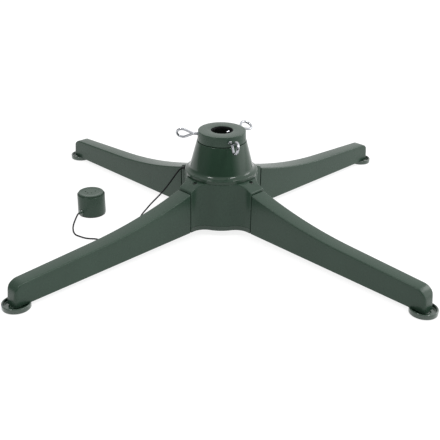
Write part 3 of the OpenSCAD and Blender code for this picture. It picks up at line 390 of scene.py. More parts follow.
cord_start = on_arm("rear_left", GLAND_U, GLAND_V + GLAND_OUT, GLAND_Z)
switch_way = np.array([np.cos(BOOT_AZ), np.sin(BOOT_AZ), 0])
cord_end = np.array([*SWITCH_AT, BOOT_Z]) + BOOT_END * switch_way
cord_points = np.array([
    cord_start, cord_start + (-1.6, -1.6, -0.2),
    (-66.4, 33.6, 72.1), (-73.3, 32, 62.9), (-81.2, 31, 51.4), (-89.3, 30.2, 40.2),
    (-97.5, 29.4, 30.4), (-112, 27.6, 15), (-119.4, 25, 6.6), (-124.4, 20, 2.2),
    (-127, 10, 1.4), (-128.5, -6, 1.4), (-131, -25, 1.4), (-141, -44, 1.4),
    (-152, -61, 1.4), (-163, -73, 1.4), (-172, -76.5, 1.4), (-180, -74.5, 1.4),
    (-188, -71.5, 1.4), (-196.2, -70.8, 1.4), (-204, -69, 1.4), (-213, -63.8, 1.4),
    (-219.4, -59, 1.4), (-224.3, -49.8, 1.4), (-227.6, -36.3, 1.4), (-228.9, -22.5, 1.4),
    (-228.6, -10, 2.4), (-227.2, -3, 5.2),
    cord_end + 2 * switch_way - (0, 0, 0.2), cord_end])
cord_line = smooth_line(cord_points, CORD_STEPS)
cord = solid("switch_lead", [tube(cord_line, CORD_D / 2, CORD_SIDES)])
dress(cord, CORD, "stand", "black_plastic", "switch_cord")

# %% [markdown]
# ## The hub
# The hub is a round drum with four arms, and a hollow blend where each arm leaves it. A drum and
# boxes joined by Boolean would need bevels, which fail at the blends. Here the outline is the same
# few arcs and lines for every inset, with the same number of points. So the whole shell, outside,
# rounded edge, top, bearing seat and inside, is a stack of such outlines: one sheet of points,
# closed in both directions. Openings are cut afterwards.

# %% Profiles, turned shapes and boxes
def rounded(corners, closed=True, steps=4):
    """Rows of (x, y, radius) to a line whose corners are arcs. Each arc touches both sides: its
    centre is radius / sin(half the corner's angle) from the corner, along the bisector."""
    corners = np.asarray(corners, float)
    count, line = len(corners), []
    for k, (x, y, radius) in enumerate(corners):
        here = np.array([x, y])
        if radius <= 0 or (not closed and k in (0, count - 1)):
            line.append(here[None])
            continue
        back = corners[k - 1, :2] - here
        ahead = corners[(k + 1) % count, :2] - here
        back, ahead = back / np.linalg.norm(back), ahead / np.linalg.norm(ahead)
        half = np.arccos(np.clip(back @ ahead, -1, 1)) / 2
        middle = (back + ahead) / np.linalg.norm(back + ahead)
        centre = here + middle * radius / np.sin(half)
        start = np.arctan2(*(here + back * radius / np.tan(half) - centre)[::-1])
        sweep = np.arctan2(*(here + ahead * radius / np.tan(half) - centre)[::-1]) - start
        sweep = (sweep + np.pi) % (2 * np.pi) - np.pi
        angle = start + sweep * np.linspace(0, 1, steps + 1)
        line.append(centre + radius * np.stack([np.cos(angle), np.sin(angle)], -1))
    return np.concatenate(line)


def turned(profile, steps=96, closed=True, at=(0, 0)):
    """A profile of (radius, height) carried round the upright axis at `at`:
    x = r cos a, y = r sin a, z = height."""
    a = np.linspace(0, 2 * np.pi, steps, endpoint=False)[:, None]
    r, z = profile[:, 0][None], profile[:, 1][None]
    grid = np.stack([at[0] + r * np.cos(a), at[1] + r * np.sin(a), z + 0 * a], -1)
    return sheet(grid, wrap_rows=True, wrap_columns=closed)


def drum(radius, z0, z1, at=(0, 0), steps=32):
    """The rectangle from the axis out to radius, carried round: a plain cylinder with its ends."""
    profile = np.array([[0, z0], [radius, z0], [radius, z1], [0, z1]])
    return turned(profile, steps, closed=False, at=at)


def block(low, high, soft=0.0):
    """A box between two corners. Its upright edges are arcs of radius soft."""
    (x0, y0, z0), (x1, y1, z1) = low, high
    plan = rounded([(x0, y0, soft), (x1, y0, soft), (x1, y1, soft), (x0, y1, soft)])
    rows = [np.c_[plan, np.full(len(plan), z)] for z in (z0, z1)]
    return sheet(rows, wrap_columns=True, lids=True)


print("a rounded triangle:", len(rounded([(0, 0, .1), (1, 0, .1), (0, 1, .1)])), "points")


# %% Placing, cutting and joining
def placed(skin, matrix):
    """The same skin after a 4x4 matrix, given in millimetres: each point p becomes M p + m."""
    m = np.array(matrix)
    return skin[0] @ m[:3, :3].T + m[:3, 3], skin[1]


def apply_modifiers(piece):
    """Keeps only the mesh that the piece's modifiers make."""
    bpy.context.view_layer.update()
    graph = bpy.context.evaluated_depsgraph_get()
    result = bpy.data.meshes.new_from_object(piece.evaluated_get(graph))
    piece.modifiers.clear()
    piece.data, old = result, piece.data
    bpy.data.meshes.remove(old)
    piece.data.name = piece.name


def cut(piece, tools, operation="DIFFERENCE"):
    """Takes each tool's solid off the piece, or adds it with UNION."""
    for skin in tools:
        tool = solid("tool", [skin])
        change = piece.modifiers.new("change", "BOOLEAN")
        change.operation, change.solver, change.object = operation, "EXACT", tool
        apply_modifiers(piece)
        bpy.data.objects.remove(tool)


def lathe(name, corners, sides, steps=5, closed=True, at=(0, 0), way=None):
    """A piece of one turned profile with rounded corners, moved by way if one is given."""
    skin = turned(rounded(corners, closed, steps), sides, closed, at)
    return solid(name, [placed(skin, way) if way else skin])


# Turns the upright axis into the x axis, for shapes that are turned lying down.
across = Matrix.Rotation(np.pi / 2, 4, "Y")
print("upright becomes", [round(v) for v in across @ Vector((0, 0, 1))])

# %% Outline of the hub
HUB_R, ARM_R, ARM_HALF, BLEND_R, ARM_CORNER_R, LEAST_CORNER_R = 56.0, 76.0, 13.5, 24.0, 0.8, 0.3
HUB_LOW, DECK, ARM_TOP = 17.0, 85.0, 76.0
DRUM_STEPS, BLEND_STEPS, CORNER_STEPS = 9, 15, 6
SLOPE = (DECK - ARM_TOP) / (ARM_R - HUB_R)
BLEND_V = ARM_HALF + BLEND_R
BLEND_U = np.sqrt((HUB_R + BLEND_R) ** 2 - BLEND_V**2)
BLEND_A = np.arctan2(BLEND_V, BLEND_U)


def circle(radius, angles):
    """radius cos a, radius sin a."""
    return radius * np.stack([np.cos(angles), np.sin(angles)], -1)


def hub_plan(inset):
    """A quarter is a piece of the drum, the hollow blend, the arm's corner and half its end, and
    the same mirrored. The inset makes the drum's radius less and the blend's more, and brings
    the arm's sides and end in."""
    c = max(ARM_CORNER_R - inset, LEAST_CORNER_R)
    half, end = ARM_HALF - inset, ARM_R - inset
    round_part = circle(HUB_R - inset, np.linspace(-np.pi / 4, -BLEND_A, DRUM_STEPS)[:-1])
    blend = np.array([BLEND_U, -BLEND_V]) + circle(
        BLEND_R + inset, np.linspace(np.pi - BLEND_A, np.pi / 2, BLEND_STEPS))
    edge = np.array([end - c, c - half]) + circle(
        c, np.linspace(-np.pi / 2, 0, CORNER_STEPS))
    lower = np.vstack([round_part, blend, edge, [[end, -half / 2], [end, 0]]])
    quarter = np.vstack([lower, lower[-2:0:-1] * (1, -1)])
    return np.concatenate([quarter @ np.array([[np.cos(t), np.sin(t)], [-np.sin(t), np.cos(t)]])
                           for t in np.radians(sorted(ARM_AT.values()))])


def arm_axis_angle(xy):
    """Angle between a point and the nearest arm."""
    return (np.arctan2(xy[:, 1], xy[:, 0]) % (np.pi / 2)) - np.pi / 4


def top_height(xy):
    """The deck is flat out to the drum's edge. Beyond it the top falls evenly along each arm."""
    u = np.hypot(*xy.T) * np.cos(arm_axis_angle(xy))
    return DECK - SLOPE * np.maximum(u - HUB_R, 0)


print("outline points:", len(hub_plan(0)))

# %% Shell of the hub
EDGE_R, EDGE_STEPS, SEAM, HUB_WALL, ROOF = 1.3, 5, 0.35, 3.0, 4.0
SEAT_R, SEAT_Z, DECK_HOLE, DECK_LOW = 30.05, 84.0, 22.1, 81.0
MID_ROW_Z, DECK_ROW_R, ROOF_ROW_R, CREASE_LIMIT = 40.0, 50.0, 48.0, 0.985


def hub_ring(inset, height):
    """The outline at this inset, at one height or at a height that is a function of place."""
    xy = hub_plan(inset)
    return np.c_[xy, height(xy) if callable(height) else np.full(len(xy), height)]


def circle_ring(radius, z):
    """A circle with a point at the angle of each point of the outline."""
    a = np.arctan2(*hub_plan(0).T[::-1])
    return np.c_[circle(radius, a), np.full(len(a), z)]


def crease_ring():
    """Where the top starts to fall: u = the drum's radius along each arm, or the edge where that
    is nearer."""
    xy = hub_plan(EDGE_R)
    r, a = np.hypot(*xy.T), arm_axis_angle(xy)
    scale = np.minimum(HUB_R / np.cos(a) / r, CREASE_LIMIT)
    return np.c_[xy * scale[:, None], top_height(xy * scale[:, None])]


def hub_shell_rows():
    """Up the outside, round the upper edge by inset = R (1 - cos a) and drop = R (1 - sin a), in
    over the deck, down through the bearing's seat, and out again below the deck."""
    rows = [hub_ring(HUB_WALL, HUB_LOW), hub_ring(SEAM, HUB_LOW), hub_ring(0, HUB_LOW + SEAM),
            hub_ring(0, MID_ROW_Z)]
    for a in np.radians(np.linspace(0, 90, EDGE_STEPS)):
        inset, drop = EDGE_R * (1 - np.cos(a)), EDGE_R * (1 - np.sin(a))
        rows.append(hub_ring(inset, lambda xy, drop=drop: top_height(xy) - drop))
    rows += [crease_ring(), circle_ring(DECK_ROW_R, DECK), circle_ring(SEAT_R, DECK),
             circle_ring(SEAT_R, SEAT_Z), circle_ring(DECK_HOLE, SEAT_Z),
             circle_ring(DECK_HOLE, DECK_LOW), circle_ring(ROOF_ROW_R, DECK_LOW),
             hub_ring(HUB_WALL, lambda xy: top_height(xy) - ROOF)]
    return np.array(rows)


hub = solid("hub_shell", [sheet(hub_shell_rows(), wrap_rows=True, wrap_columns=True)])
print("hub shell:", len(hub.data.vertices), "points before its openings")

# %% Openings of the hub: leg sockets, screw recesses, inlet and gland
SOCKET_FROM, SOCKET_HALF, SOCKET_LOW, SOCKET_HIGH = 53.0, 10.5, 19.5, 70.0
LOCK_U, LOCK_V, LOCK_HEAD_R, LOCK_PLAY, LOCK_SUNK = 59.2, 4.0, 2.9, 0.35, 2.6
JACK_Y, JACK_Z, JACK_PAD_R, JACK_PAD_DEEP, JACK_HOLE_R, JACK_HOLE_DEEP = 57.5, 33, 9, 6, 5.6, 16
GLAND_HOLE_R, GLAND_HOLE_DEEP = 1.9, 4
PAST = 1.0  # how far a tool stands out of the piece that it cuts

LOCK_TOP = DECK - SLOPE * (LOCK_U - HUB_R)
lock_at = [on_arm(arm, LOCK_U, LOCK_V, 0) for arm in ARM_AT]
socket = block((SOCKET_FROM, -SOCKET_HALF, SOCKET_LOW), (ARM_R + PAST, SOCKET_HALF, SOCKET_HIGH))
hub_tools = [placed(socket, spun(t)) for t in ARM_AT.values()]
hub_tools += [drum(LOCK_HEAD_R + LOCK_PLAY, LOCK_TOP - LOCK_SUNK, DECK + PAST, p[:2], 28)
              for p in lock_at]
jack_way = Matrix.Translation((0, JACK_Y, JACK_Z)) @ Matrix.Rotation(-np.pi / 2, 4, "X")
gland_way = (spun(ARM_AT["rear_left"]) @ Matrix.Translation((GLAND_U, GLAND_V, GLAND_Z))
             @ Matrix.Rotation(-np.pi / 2, 4, "X"))
pad_profile = rounded([(0, -JACK_PAD_DEEP, 0), (JACK_PAD_R, -JACK_PAD_DEEP, 0),
                       (JACK_PAD_R, 0, 1.0), (0, 0, 0)], closed=False)
cut(hub, [placed(turned(pad_profile, 64, closed=False), jack_way)], "UNION")
hub_tools += [placed(drum(JACK_HOLE_R, -JACK_HOLE_DEEP, PAST, steps=48), jack_way),
              placed(drum(GLAND_HOLE_R, -GLAND_HOLE_DEEP, PAST), gland_way)]
cut(hub, hub_tools)
dress(hub, GREEN, "stand", "green_plastic", "hub_housing")

# %% [markdown]
# ## The legs
# Seen from the side a leg is a long taper: straight near the foot, then a hollow arc that climbs
# to the hub. Its section is a channel, open below, with soft upper edges. A bent box with bevels
# would lose the even taper. Here rows of points follow the top line and the underside together.
# Near the foot the rows lean, so that the last one lies in the end face, and the nose comes from
# the same sheet. Solidify then gives the wall its thickness.

# %% Lines of the leg
LEG_START, LEG_END = 77.6, 378.0
HALF_NEAR, HALF_FAR = 13.5, 10.5
UNDER_NEAR, UNDER_FAR = 10.0, 6.0
TOP_START, TOP_KNEE, TOP_END = (76.3, 73.2), (243.0, 44.0), 37.0
NOSE_R, LEG_LEAN = 17.0, 3.4
ARC_ROWS, FLAT_ROWS, NOSE_ROWS = 36, 14, 14

knee, start = np.array(TOP_KNEE), np.array(TOP_START)
fall = (TOP_KNEE[1] - TOP_END) / (LEG_END - TOP_KNEE[0])
up_normal = np.array([fall, 1]) / np.hypot(fall, 1)
chord = start - knee
ARC_R = chord @ chord / (2 * (chord @ up_normal))
ARC_C = knee + ARC_R * up_normal
end_normal = np.array([TOP_END - UNDER_FAR, LEG_LEAN]) / np.hypot(TOP_END - UNDER_FAR, LEG_LEAN)


def along_leg(u, near, far):
    """A measure that changes evenly from the leg's start to its end."""
    return near + (far - near) * (u - LEG_START) / (LEG_END - LEG_START)


def nose_centre():
    """Where the nose's centre is: NOSE_R inside both the top line and the end face."""
    lines = np.array([up_normal, end_normal])
    reach = np.array([knee @ up_normal, np.array([LEG_END, UNDER_FAR]) @ end_normal]) - NOSE_R
    return np.linalg.solve(lines, reach)


def leg_lines():
    """A pair of points for each row, on the top line and on the underside. The top line is the
    arc z = zc - sqrt(R^2 - (uc - u)^2), then a straight, then the nose's circle."""
    centre = nose_centre()
    u = np.linspace(LEG_START, TOP_KNEE[0], ARC_ROWS)
    arc = np.stack([u, ARC_C[1] - np.sqrt(ARC_R**2 - (ARC_C[0] - u) ** 2)], -1)
    first = centre + NOSE_R * up_normal
    flat = knee + (first - knee) * np.linspace(0, 1, FLAT_ROWS)[1:, None]
    a0, a1 = np.arctan2(*up_normal[::-1]), np.arctan2(*end_normal[::-1])
    t = np.linspace(0, 1, NOSE_ROWS)[1:]
    top = np.vstack([arc, flat, centre + circle(NOSE_R, a0 + (a1 - a0) * t)])
    nose_u = first[0] + (LEG_END - first[0]) * np.sin(t * np.pi / 2)
    low_u = np.r_[arc[:, 0], flat[:, 0], nose_u]
    return top, np.stack([low_u, along_leg(low_u, UNDER_NEAR, UNDER_FAR)], -1)


print("hollow arc radius in mm:", round(ARC_R, 1))

# %% Skin of the leg
LEG_CORNER_R, LEG_EDGE_R, LEG_WALL = 4.0, 2.0, 2.5
LEG_SIDE_STEPS, LEG_EDGE_STEPS = 5, 6


def leg_rows():
    """Each row goes up one side, over the top and down the other. The upper edge is a quarter
    circle of LEG_EDGE_R, and near the end face the half-width shrinks as one of LEG_CORNER_R."""
    top, low = leg_lines()
    along = top - low
    height = np.hypot(*along.T)[:, None]
    a = np.radians(np.linspace(0, 90, LEG_EDGE_STEPS))
    side = np.linspace(0, 1, LEG_SIDE_STEPS)[:-1]
    reach = np.hstack([side * (height - LEG_EDGE_R),
                       height - LEG_EDGE_R + LEG_EDGE_R * np.sin(a)])
    narrow = np.r_[np.zeros(len(side)), LEG_EDGE_R * (1 - np.cos(a))]
    place = low[:, None] + along[:, None] * (reach / height)[..., None]
    left = (np.array([LEG_END, UNDER_FAR]) - place) @ end_normal
    into_corner = np.clip(LEG_CORNER_R - left, 0, LEG_CORNER_R)
    gone = LEG_CORNER_R - np.sqrt(LEG_CORNER_R**2 - into_corner**2)
    half = along_leg(place[..., 0], HALF_NEAR, HALF_FAR) - narrow - gone
    right = np.stack([place[..., 0], -half, place[..., 1]], -1)
    return np.concatenate([right, right[:, ::-1] * (1, -1, 1)], 1)


print("rows and points of a leg:", leg_rows().shape[:2])

# %% Four legs
# The tongue plugs into the hub's socket. The plug stands behind the narrow groove between arm and
# leg, so that the groove is dark, as in the photograph, and no light comes through.
TONGUE_PLAY, TONGUE_IN, TONGUE_TO, INNER_EDGE_R = 0.3, 0.2, 78.5, 0.6
PLUG_FROM, PLUG_TO, PLUG_HALF, PLUG_LOW, PLUG_HIGH = 76.3, 78.9, 11.6, 11.9, 71.3


def leg_piece(arm):
    """The outer sheet with both ends closed, thickened inwards, with the tongue and the plug
    joined to it."""
    leg = solid("leg_shell_" + arm, [sheet(leg_rows(), lids=True)])
    if sum(face.normal.z * face.area for face in leg.data.polygons) < 0:
        leg.data.flip_normals()
    wall = leg.modifiers.new("wall", "SOLIDIFY")
    wall.thickness, wall.offset = LEG_WALL * MM, -1
    apply_modifiers(leg)
    tongue_half = SOCKET_HALF - TONGUE_PLAY
    inner = mesh_of("tongue", [
        block((SOCKET_FROM - TONGUE_IN, -tongue_half, SOCKET_LOW + TONGUE_PLAY),
              (TONGUE_TO, tongue_half, SOCKET_HIGH - TONGUE_PLAY), INNER_EDGE_R),
        block((PLUG_FROM, -PLUG_HALF, PLUG_LOW), (PLUG_TO, PLUG_HALF, PLUG_HIGH), INNER_EDGE_R)])
    bm = bmesh.new()
    bm.from_mesh(leg.data)
    bm.from_mesh(inner)
    bm.to_mesh(leg.data)
    bm.free()
    bpy.data.meshes.remove(inner)
    leg.data.transform(spun(ARM_AT[arm]))
    return leg


for arm in ARM_AT:
    dress(leg_piece(arm), GREEN, "stand", "green_plastic", "leg_" + arm)

# %% [markdown]
# ## The feet
# Each leg ends on a shallow round dish with a raised rim, and the leg's nose stands in it. A
# cylinder could be inset and pushed down by hand. Here the dish's profile is drawn once and
# carried round an axis. The rim is cut away where the leg passes.

# %% Foot dishes
FOOT_REACH = 370.0
FOOT_R, FOOT_H, FOOT_RIM, DISH_FLOOR, BOSS_R, BOSS_Z = 19.0, 8.0, 2.4, 3.6, 7.5, 5.9
FOOT_LOW, PAD_TOP, SCREW_R, SCREW_HEAD_R, SCREW_HEAD_TOP = 1.0, 2.0, 1.9, 3.6, 4.0
NOTCH_SIDE_PLAY, NOTCH_LOW_PLAY, NOTCH_PAST = 0.4, 0.3, 2


def dish(arm):
    """Profile: rim, dished floor, boss under the leg, screw hole, and the rubber pad's seat."""
    x, y, _ = on_arm(arm, FOOT_REACH, 0, 0)
    rim_in = FOOT_R - FOOT_RIM
    made = lathe("foot_dish_" + arm, [
        (FOOT_R, FOOT_LOW, 0.8), (FOOT_R, FOOT_H, 1.1), (rim_in, FOOT_H, 1.1),
        (rim_in, DISH_FLOOR, 1.2), (BOSS_R, DISH_FLOOR, 0.8), (BOSS_R, BOSS_Z, 0.5),
        (SCREW_R, BOSS_Z, 0), (SCREW_R, SCREW_HEAD_TOP, 0), (SCREW_HEAD_R, SCREW_HEAD_TOP, 0),
        (SCREW_HEAD_R, PAD_TOP, 0), (rim_in, PAD_TOP, 0), (rim_in, FOOT_LOW, 0)], 80, at=(x, y))
    near = FOOT_REACH - FOOT_R
    half = along_leg(near, HALF_NEAR, HALF_FAR) + NOTCH_SIDE_PLAY
    low = along_leg(near, UNDER_NEAR, UNDER_FAR) - NOTCH_LOW_PLAY
    notch = block((near - NOTCH_PAST, -half, low),
                  (FOOT_REACH - BOSS_R, half, FOOT_H + NOTCH_PAST))
    cut(made, [placed(notch, spun(ARM_AT[arm]))])
    return made


for arm in ARM_AT:
    dress(dish(arm), GLOSSY_GREEN, "stand", "green_plastic", "foot_cup_" + arm)

# %% [markdown]
# ## The cone
# The cone covers the bearing and stays still. Its straight side ends in a small flare and a flat
# flange that lies on the deck. A cone primitive has no wall and no flare. A turned profile has
# both, and its flare is an arc that touches the straight side.

# %% Cone
CONE_TOP, CONE_LOW_R, CONE_TOP_R, CONE_WALL, CONE_ROOF = 136.0, 48.0, 37.7, 2.6, 3
FLANGE_R, FLANGE_H, FLARE_R, FLARE_H, FLARE_FROM = 55.5, 5.6, 8.0, 12.0, np.radians(250)
CONE_HOLE_R = 22.6
steep = (CONE_LOW_R - CONE_TOP_R) / (CONE_TOP - DECK - FLARE_H)
tilt = np.arctan2(CONE_LOW_R - CONE_TOP_R, CONE_TOP - DECK - FLARE_H)
flare_c = np.array([CONE_LOW_R, DECK + FLARE_H]) + circle(FLARE_R, tilt)
flare = flare_c + circle(FLARE_R, np.linspace(FLARE_FROM, np.pi + tilt, 14))
inner_low = CONE_LOW_R + steep * FLARE_H - CONE_WALL
inner_high = CONE_TOP_R + steep * CONE_ROOF - CONE_WALL
roof_low = CONE_TOP - CONE_ROOF
outside = rounded([(inner_low, DECK, 0), (FLANGE_R, DECK, 0.3),
                   (FLANGE_R, DECK + FLANGE_H, 1.6), (*flare[0], 0)], closed=False, steps=6)
inside = rounded([(*flare[-1], 0), (CONE_TOP_R, CONE_TOP, 0.9), (CONE_HOLE_R, CONE_TOP, 0.4),
                  (CONE_HOLE_R, roof_low, 0), (inner_high, roof_low, 1.5),
                  (inner_low, DECK, 0)], closed=False, steps=5)
cone_profile = np.vstack([outside[:-1], flare, inside[1:-1]])
cone = solid("cone_shell", [turned(cone_profile, 128)])
dress(cone, CONE_GREEN, "stand", "green_plastic", "cone_cover")

# %% [markdown]
# ## The collar
# The collar turns with the pole, and three bolts go through its wall. A thick ring would do from
# above, but a moulding is hollow, so its profile has a groove between two walls. The bolt holes
# are cut. The hole in the middle is dark with shade up to its edge. A thin black liner, a piece
# apart, paints that shade on the lip's inner wall and carries the tube's bore on through the lip.

# %% Collar
COLLAR_LOW, COLLAR_TOP, COLLAR_R, COLLAR_LOW_R, LIP_R = 137.0, 152.0, 36.0, 37.0, 17.0
COLLAR_ROOF_Z, COLLAR_BORE_R, GROOVE_IN_R, GROOVE_OUT_R = 148.0, 19.02, 23, 33
BOLT_Z, BOLT_HOLE_R, BOLT_HOLE_FROM, BOLT_HOLE_TO = 144.0, 2.65, 17.5, 40
BOLT_AZ = dict(left=174.0, front=-71.0, rear=50.0)
collar = lathe("collar_shell", [
    (COLLAR_LOW_R, COLLAR_LOW, 0.5), (COLLAR_R, COLLAR_TOP, 1.1), (LIP_R, COLLAR_TOP, 0.7),
    (LIP_R, COLLAR_ROOF_Z, 0), (COLLAR_BORE_R, COLLAR_ROOF_Z, 0), (COLLAR_BORE_R, COLLAR_LOW, 0),
    (GROOVE_IN_R, COLLAR_LOW, 0), (GROOVE_IN_R, COLLAR_ROOF_Z, 0),
    (GROOVE_OUT_R, COLLAR_ROOF_Z, 0.8), (GROOVE_OUT_R, COLLAR_LOW, 0)], 128)
bolt_hole = drum(BOLT_HOLE_R, BOLT_HOLE_FROM, BOLT_HOLE_TO)
cut(collar, [placed(bolt_hole, Matrix.Translation((0, 0, BOLT_Z)) @ spun(azimuth) @ across)
             for azimuth in BOLT_AZ.values()])
dress(collar, GREEN, "turntable", "green_plastic", "collar_cap")

# %% Liner of the hole: a thin black sheet of painted shade on the lip's inner wall
LINER_R, LINER_WALL, LINER_DOWN = 16.55, 0.4, 0.4
liner_top, liner_out = COLLAR_TOP - LINER_DOWN, LINER_R + LINER_WALL
shade_liner = lathe("painted_shade_liner", [
    (LINER_R, COLLAR_ROOF_Z, 0), (liner_out, COLLAR_ROOF_Z, 0),
    (liner_out, liner_top, 0.15), (LINER_R, liner_top, 0.15)], 96, steps=3)
dress(shade_liner, BLACK, "turntable", "black_plastic")

# %% [markdown]
# ## The eye-bolts
# Each bolt is a threaded rod that goes over into a bent wire eye, shaped like a drop. A painted
# thread would show a straight edge, so this one is real: a surface with a saw-tooth radius that
# moves on by one pitch for each turn. The eye is a tube from the neck round the loop and back.

# %% Lines of the eye-bolt
BOLT_R, WIRE_R, EYE_R, EYE_NECK, EYE_END, BOLT_TIP = 2.5, 2.0, 8.5, 44.0, 70.5, 12.0
EYE_MID = EYE_END - WIRE_R - EYE_R
EYE_SWEEP = np.pi - np.arccos(EYE_R / (EYE_MID - EYE_NECK))
LOOP_STEPS, ARM_STEPS, NECK_BACK = 64, 14, 0.6
THREAD_END, THREAD_PITCH, THREAD_DEEP, POINT_LESS = 38.0, 0.8, 0.42, 0.9


def threaded_rod(x0, x1, rows_per_turn=10, sides=24):
    """Radius = BOLT_R - depth * |2 f - 1| with f = fraction(x / pitch - a / 2 pi). The tip is
    narrower by POINT_LESS, which it makes up over one millimetre."""
    x = np.linspace(x0, x1, int((x1 - x0) / THREAD_PITCH * rows_per_turn))[:, None]
    a = np.linspace(0, 2 * np.pi, sides, endpoint=False)[None]
    f = (x / THREAD_PITCH - a / (2 * np.pi)) % 1
    r = BOLT_R - THREAD_DEEP * np.abs(2 * f - 1)
    r = np.minimum(r, BOLT_R - POINT_LESS + (x - x0) * POINT_LESS)
    return sheet(np.stack([x + 0 * a, r * np.cos(a), r * np.sin(a)], -1), wrap_columns=True,
                 lids=True)


def eye_line():
    """Straight from the neck to where it touches the circle, round it, and straight back."""
    a = np.linspace(EYE_SWEEP, -EYE_SWEEP, LOOP_STEPS)
    loop = np.stack([EYE_MID + EYE_R * np.cos(a), 0 * a, EYE_R * np.sin(a)], -1)
    neck = np.array([EYE_NECK - NECK_BACK, 0, 0])
    t = np.linspace(0, 1, ARM_STEPS)[:, None]
    return np.vstack([(neck + (loop[0] - neck) * t)[:-1], loop,
                      (loop[-1] + (neck - loop[-1]) * t)[1:]])


wire_steps = np.linalg.norm(np.diff(eye_line(), axis=0), axis=1)
print("the eye's wire in mm:", round(wire_steps.sum(), 1))

# %% Three eye-bolts
BOLT_LEAN = dict(left=28.0, front=14.0, rear=63.0)
BOLT_OUT = dict(left=0.0, front=1.0, rear=-1.0)
SHANK_FROM, SHANK_TO, NECK_AT = THREAD_END - 0.5, 41.5, 43.0
SHANK_R, NECK_R, KNOT_R = BOLT_R - 0.15, WIRE_R + 0.15, WIRE_R + 0.25


def bolt(which):
    """Thread, a shank that narrows to the wire, and the eye. It is made along the x axis, leans
    about it, moves out along it, and is then turned to its place round the collar."""
    shank = rounded([(0, SHANK_FROM, 0), (SHANK_R, SHANK_FROM, 0.2), (SHANK_R, SHANK_TO, 1.5),
                     (NECK_R, NECK_AT, 1.0), (KNOT_R, EYE_NECK + 1.4, 1.2),
                     (0, EYE_NECK + 1.9, 0)], closed=False)
    made = solid("threaded_eye_" + which, [
        threaded_rod(BOLT_TIP, THREAD_END), placed(turned(shank, 24, closed=False), across),
        tube(eye_line(), WIRE_R, 16, (0, 1, 0))])
    made.data.transform(Matrix.Translation((0, 0, BOLT_Z * MM)) @ spun(BOLT_AZ[which])
                        @ Matrix.Translation((BOLT_OUT[which] * MM, 0, 0))
                        @ Matrix.Rotation(np.radians(-BOLT_LEAN[which]), 4, "X"))
    return made


for which in BOLT_AZ:
    dress(bolt(which), ZINC, which + "_bolt", "bright_zinc", "eye_bolt_" + which)

# %% [markdown]
# ## The foot switch
# A round housing with a step-on cap nested in its rim. Two cylinders would lack the rim, the gap
# and the soft edges, which turned profiles give. The cap has four small sunk marks, and goes down
# with its own body, so it is a piece apart. The cord goes in through a short tapered boot, and
# leaves the hub through another.

# %% Switch housing
SWITCH_R, SWITCH_RIM_R, SWITCH_RIM_H, SWITCH_LOW, BORE_R = 22.0, 21.8, 34.0, 1.5, 20.3
LEDGE_TOP, LEDGE_LOW, LEDGE_R = 28, 26, 18.2
BOOT_FROM, BOOT_SEAT_R, BOOT_HOLE_FROM, BOOT_HOLE_R, BOOT_CUT_TO = 21.1, 5.2, 18, 2.45, 24
case = lathe("switch_shell", [
    (SWITCH_R, SWITCH_LOW, 0.6), (SWITCH_RIM_R, SWITCH_RIM_H, 0.9), (BORE_R, SWITCH_RIM_H, 0.5),
    (BORE_R, LEDGE_TOP, 0), (LEDGE_R, LEDGE_TOP, 0), (LEDGE_R, LEDGE_LOW, 0),
    (BORE_R, LEDGE_LOW, 0), (BORE_R, SWITCH_LOW, 0)], 96, at=SWITCH_AT)
boot_way = (Matrix.Translation((*SWITCH_AT, BOOT_Z))
            @ Matrix.Rotation(BOOT_AZ, 4, "Z") @ across)
cut(case, [placed(drum(BOOT_SEAT_R, BOOT_FROM, BOOT_CUT_TO, steps=48), boot_way),
           placed(drum(BOOT_HOLE_R, BOOT_HOLE_FROM, BOOT_CUT_TO), boot_way)])
dress(case, GREEN, "stand", "green_plastic", "switch_housing")

# %% Step-on cap
# Radius, height and rounding of each corner: the sunk top and its rim, the skirt, the neck with
# the hook that holds the cap in its housing, and inside them the roof and the spring's stem.
CAP_R, CAP_TOP, CAP_SUNK = 20.0, 36.5, 0.5
DIMPLES, DIMPLE_R, DIMPLE_DEEP = [(-9, 1.7), (-4.8, -4.2), (1.6, -3.8), (6.7, 3.4)], 1.2, 1.1
cap = lathe("switch_dome", [
    (0, CAP_TOP - CAP_SUNK, 0), (13, CAP_TOP - CAP_SUNK, 3), (CAP_R - 2.4, CAP_TOP, 1.6),
    (CAP_R, CAP_TOP, 1.1), (CAP_R, 30.9, 0), (17.9, 30.9, 0), (17.9, 25.9, 0), (19.7, 25.9, 0),
    (19.7, 23.9, 0), (15.9, 23.9, 0), (15.9, 34, 0), (2.5, 34, 0), (2.5, 16, 0), (0, 16, 0)],
    96, closed=False, at=SWITCH_AT)
cut(cap, [drum(DIMPLE_R, CAP_TOP - DIMPLE_DEEP, CAP_TOP + PAST,
               (SWITCH_AT[0] + x, SWITCH_AT[1] + y), 20) for x, y in DIMPLES])
dress(cap, GREEN, "switch_button", "green_plastic", "switch_cap")

# %% Boots at both ends of the cord: radius, distance along the cord, and rounding
CORD_R = CORD_D / 2
boot = lathe("switch_boot", [
    (CORD_R, 20.3, 0), (2.4, 20.3, 0), (2.4, BOOT_FROM, 0), (5.0, BOOT_FROM, 0.3),
    (5.0, 22.7, 1.0), (3.9, 23.9, 0.6), (3.3, 24.4, 0.2), (2.9, 24.7, 0.2), (2.7, 25.4, 0.2),
    (2.1, 25.8, 0.2), (1.8, BOOT_END, 0.2), (CORD_R, BOOT_END, 0)],
    32, steps=3, way=boot_way)
dress(boot, GLOSSY_GREEN, "stand", "black_plastic", "switch_gland")

gland = lathe("hub_boot", [
    (CORD_R, -GLAND_HOLE_DEEP, 0), (1.8, -GLAND_HOLE_DEEP, 0.2), (1.8, 0.1, 0), (2.8, 0.1, 0.2),
    (2.8, 1.2, 0.4), (1.7, GLAND_OUT, 0.3), (CORD_R, GLAND_OUT, 0)], 32, steps=3, way=gland_way)
dress(gland, BLACK, "stand", "black_plastic", "cord_gland")

